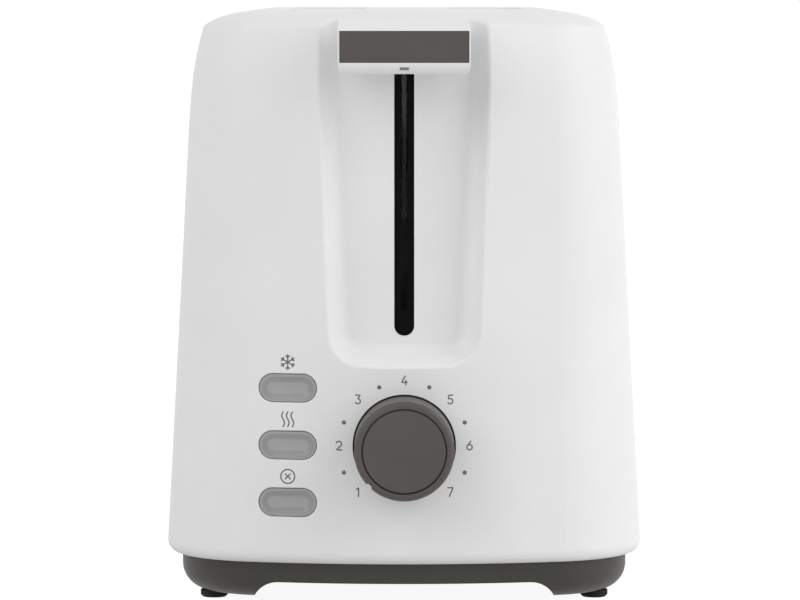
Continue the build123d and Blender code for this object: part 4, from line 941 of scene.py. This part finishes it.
for rod_name in ("Pivot", "Rail"):
    rod = add_node(tree, "GeometryNodeMeshCylinder", {"Vertices": ROD_SIDES})
    level_rod = add_node(tree, "GeometryNodeTransform", {"Rotation": (math.pi / 2, 0.0, 0.0)})
    join(tree, source.outputs[f"{rod_name} radius"], rod.inputs["Radius"])
    join(tree, source.outputs["Rod length"], rod.inputs["Depth"])
    join(tree, rod.outputs["Mesh"], level_rod.inputs["Geometry"])
    join(tree, source.outputs[rod_name], level_rod.inputs["Translation"])
    join(tree, level_rod.outputs[0], grid.inputs[0])
finish_tree(tree, grid.outputs[0], source, target)

# %% Hang the four guards
GUARD_WIRES = 9
PIVOT_RADIUS = 1.2 * MM
RAIL_RADIUS = 0.85 * MM
WIRE_RADIUS = 0.75 * MM

chamber_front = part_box("front_chassis_plate")[1].y
chamber_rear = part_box("rear_chassis_plate")[0].y
wire_pitch = (chamber_rear - chamber_front) / GUARD_WIRES
for guard in ("left_inner_guard", "left_outer_guard", "right_inner_guard", "right_outer_guard"):
    low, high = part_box(guard)
    middle = (low + high) / 2
    pivot_height = low.z + PIVOT_RADIUS
    rail_height = high.z - RAIL_RADIUS
    grid_piece = grow(f"{guard}_wires", bpy.data.meshes.new(f"{guard}_start"), grid_tree, grid_keys, {
        "Wires": GUARD_WIRES,
        "Pitch": (0.0, wire_pitch, 0.0),
        "First wire": (middle.x, chamber_front + wire_pitch / 2, (pivot_height + rail_height) / 2),
        "Wire radius": WIRE_RADIUS,
        "Wire length": rail_height - pivot_height,
        "Rod length": high.y - low.y,
        "Pivot": (middle.x, middle.y, pivot_height),
        "Pivot radius": PIVOT_RADIUS,
        "Rail": (middle.x, middle.y, rail_height),
        "Rail radius": RAIL_RADIUS,
        "Material": finishes["plated_wire"],
    })
    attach(grid_piece, guard)
    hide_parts(guard)

# %% [markdown]
# ## Return spring
# A coil spring of drawn steel wire lifts the carriage when the magnet lets go. Its top hook is fixed to
# the rod bracket and its foot rides on the carriage's tab, so it has to stretch as the lever goes down.
# A Screw modifier could make the coil too, but the tree's spiral takes its turns, radius and height as
# plain inputs.

# %% Tree that coils a wire
COIL_STEPS = 28
COIL_WIRE_SIDES = 12

coil_tree, source, target, coil_keys = new_tree("coil_of_wire", {
    "Turns": "Float", "Coil radius": "Float", "Height": "Float", "Foot": "Vector", "Wire radius": "Float",
    "Material": "Material",
})
tree = coil_tree
coil = add_node(tree, "GeometryNodeCurveSpiral", {"Resolution": COIL_STEPS})
stood = add_node(tree, "GeometryNodeTransform")
section = add_node(tree, "GeometryNodeCurvePrimitiveCircle", {"Resolution": COIL_WIRE_SIDES})
drawn = add_node(tree, "GeometryNodeCurveToMesh", {"Fill Caps": True})
join(tree, source.outputs["Turns"], coil.inputs["Rotations"])
join(tree, source.outputs["Coil radius"], coil.inputs["Start Radius"])
join(tree, source.outputs["Coil radius"], coil.inputs["End Radius"])
join(tree, source.outputs["Height"], coil.inputs["Height"])
join(tree, coil.outputs[0], stood.inputs["Geometry"])
join(tree, source.outputs["Foot"], stood.inputs["Translation"])
join(tree, source.outputs["Wire radius"], section.inputs["Radius"])
join(tree, stood.outputs[0], drawn.inputs["Curve"])
join(tree, section.outputs[0], drawn.inputs["Profile Curve"])
finish_tree(tree, drawn.outputs[0], source, target)

# %% Coil the spring
SPRING_TURNS = 15.0
SPRING_WIRE_RADIUS = 0.45 * MM

low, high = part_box("return_spring")
middle = (low + high) / 2
foot = Vector((middle.x, middle.y, low.z + SPRING_WIRE_RADIUS))
head = Vector((middle.x, middle.y, high.z - SPRING_WIRE_RADIUS))
spring = grow("coil_spring", bpy.data.meshes.new("spring_start"), coil_tree, coil_keys, {
    "Turns": SPRING_TURNS,
    "Coil radius": (high.x - low.x) / 2 - SPRING_WIRE_RADIUS,
    "Height": head.z - foot.z,
    "Foot": foot,
    "Wire radius": SPRING_WIRE_RADIUS,
    "Material": finishes["spring_steel"],
})
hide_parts("return_spring")
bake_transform(spring)

# %% [markdown]
# ## Size of the dressed scene
# The last cell prints the size of the dressed scene. It should agree with the solid model's, because
# dressing an object doesn't change its size.

# %% Print the dressed size
bpy.context.view_layer.update()
dressed_low, dressed_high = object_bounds()
dressed_size = [round((top - bottom) / MM, 1) for bottom, top in zip(dressed_low, dressed_high)]
print("dressed size", dressed_size, "mm")
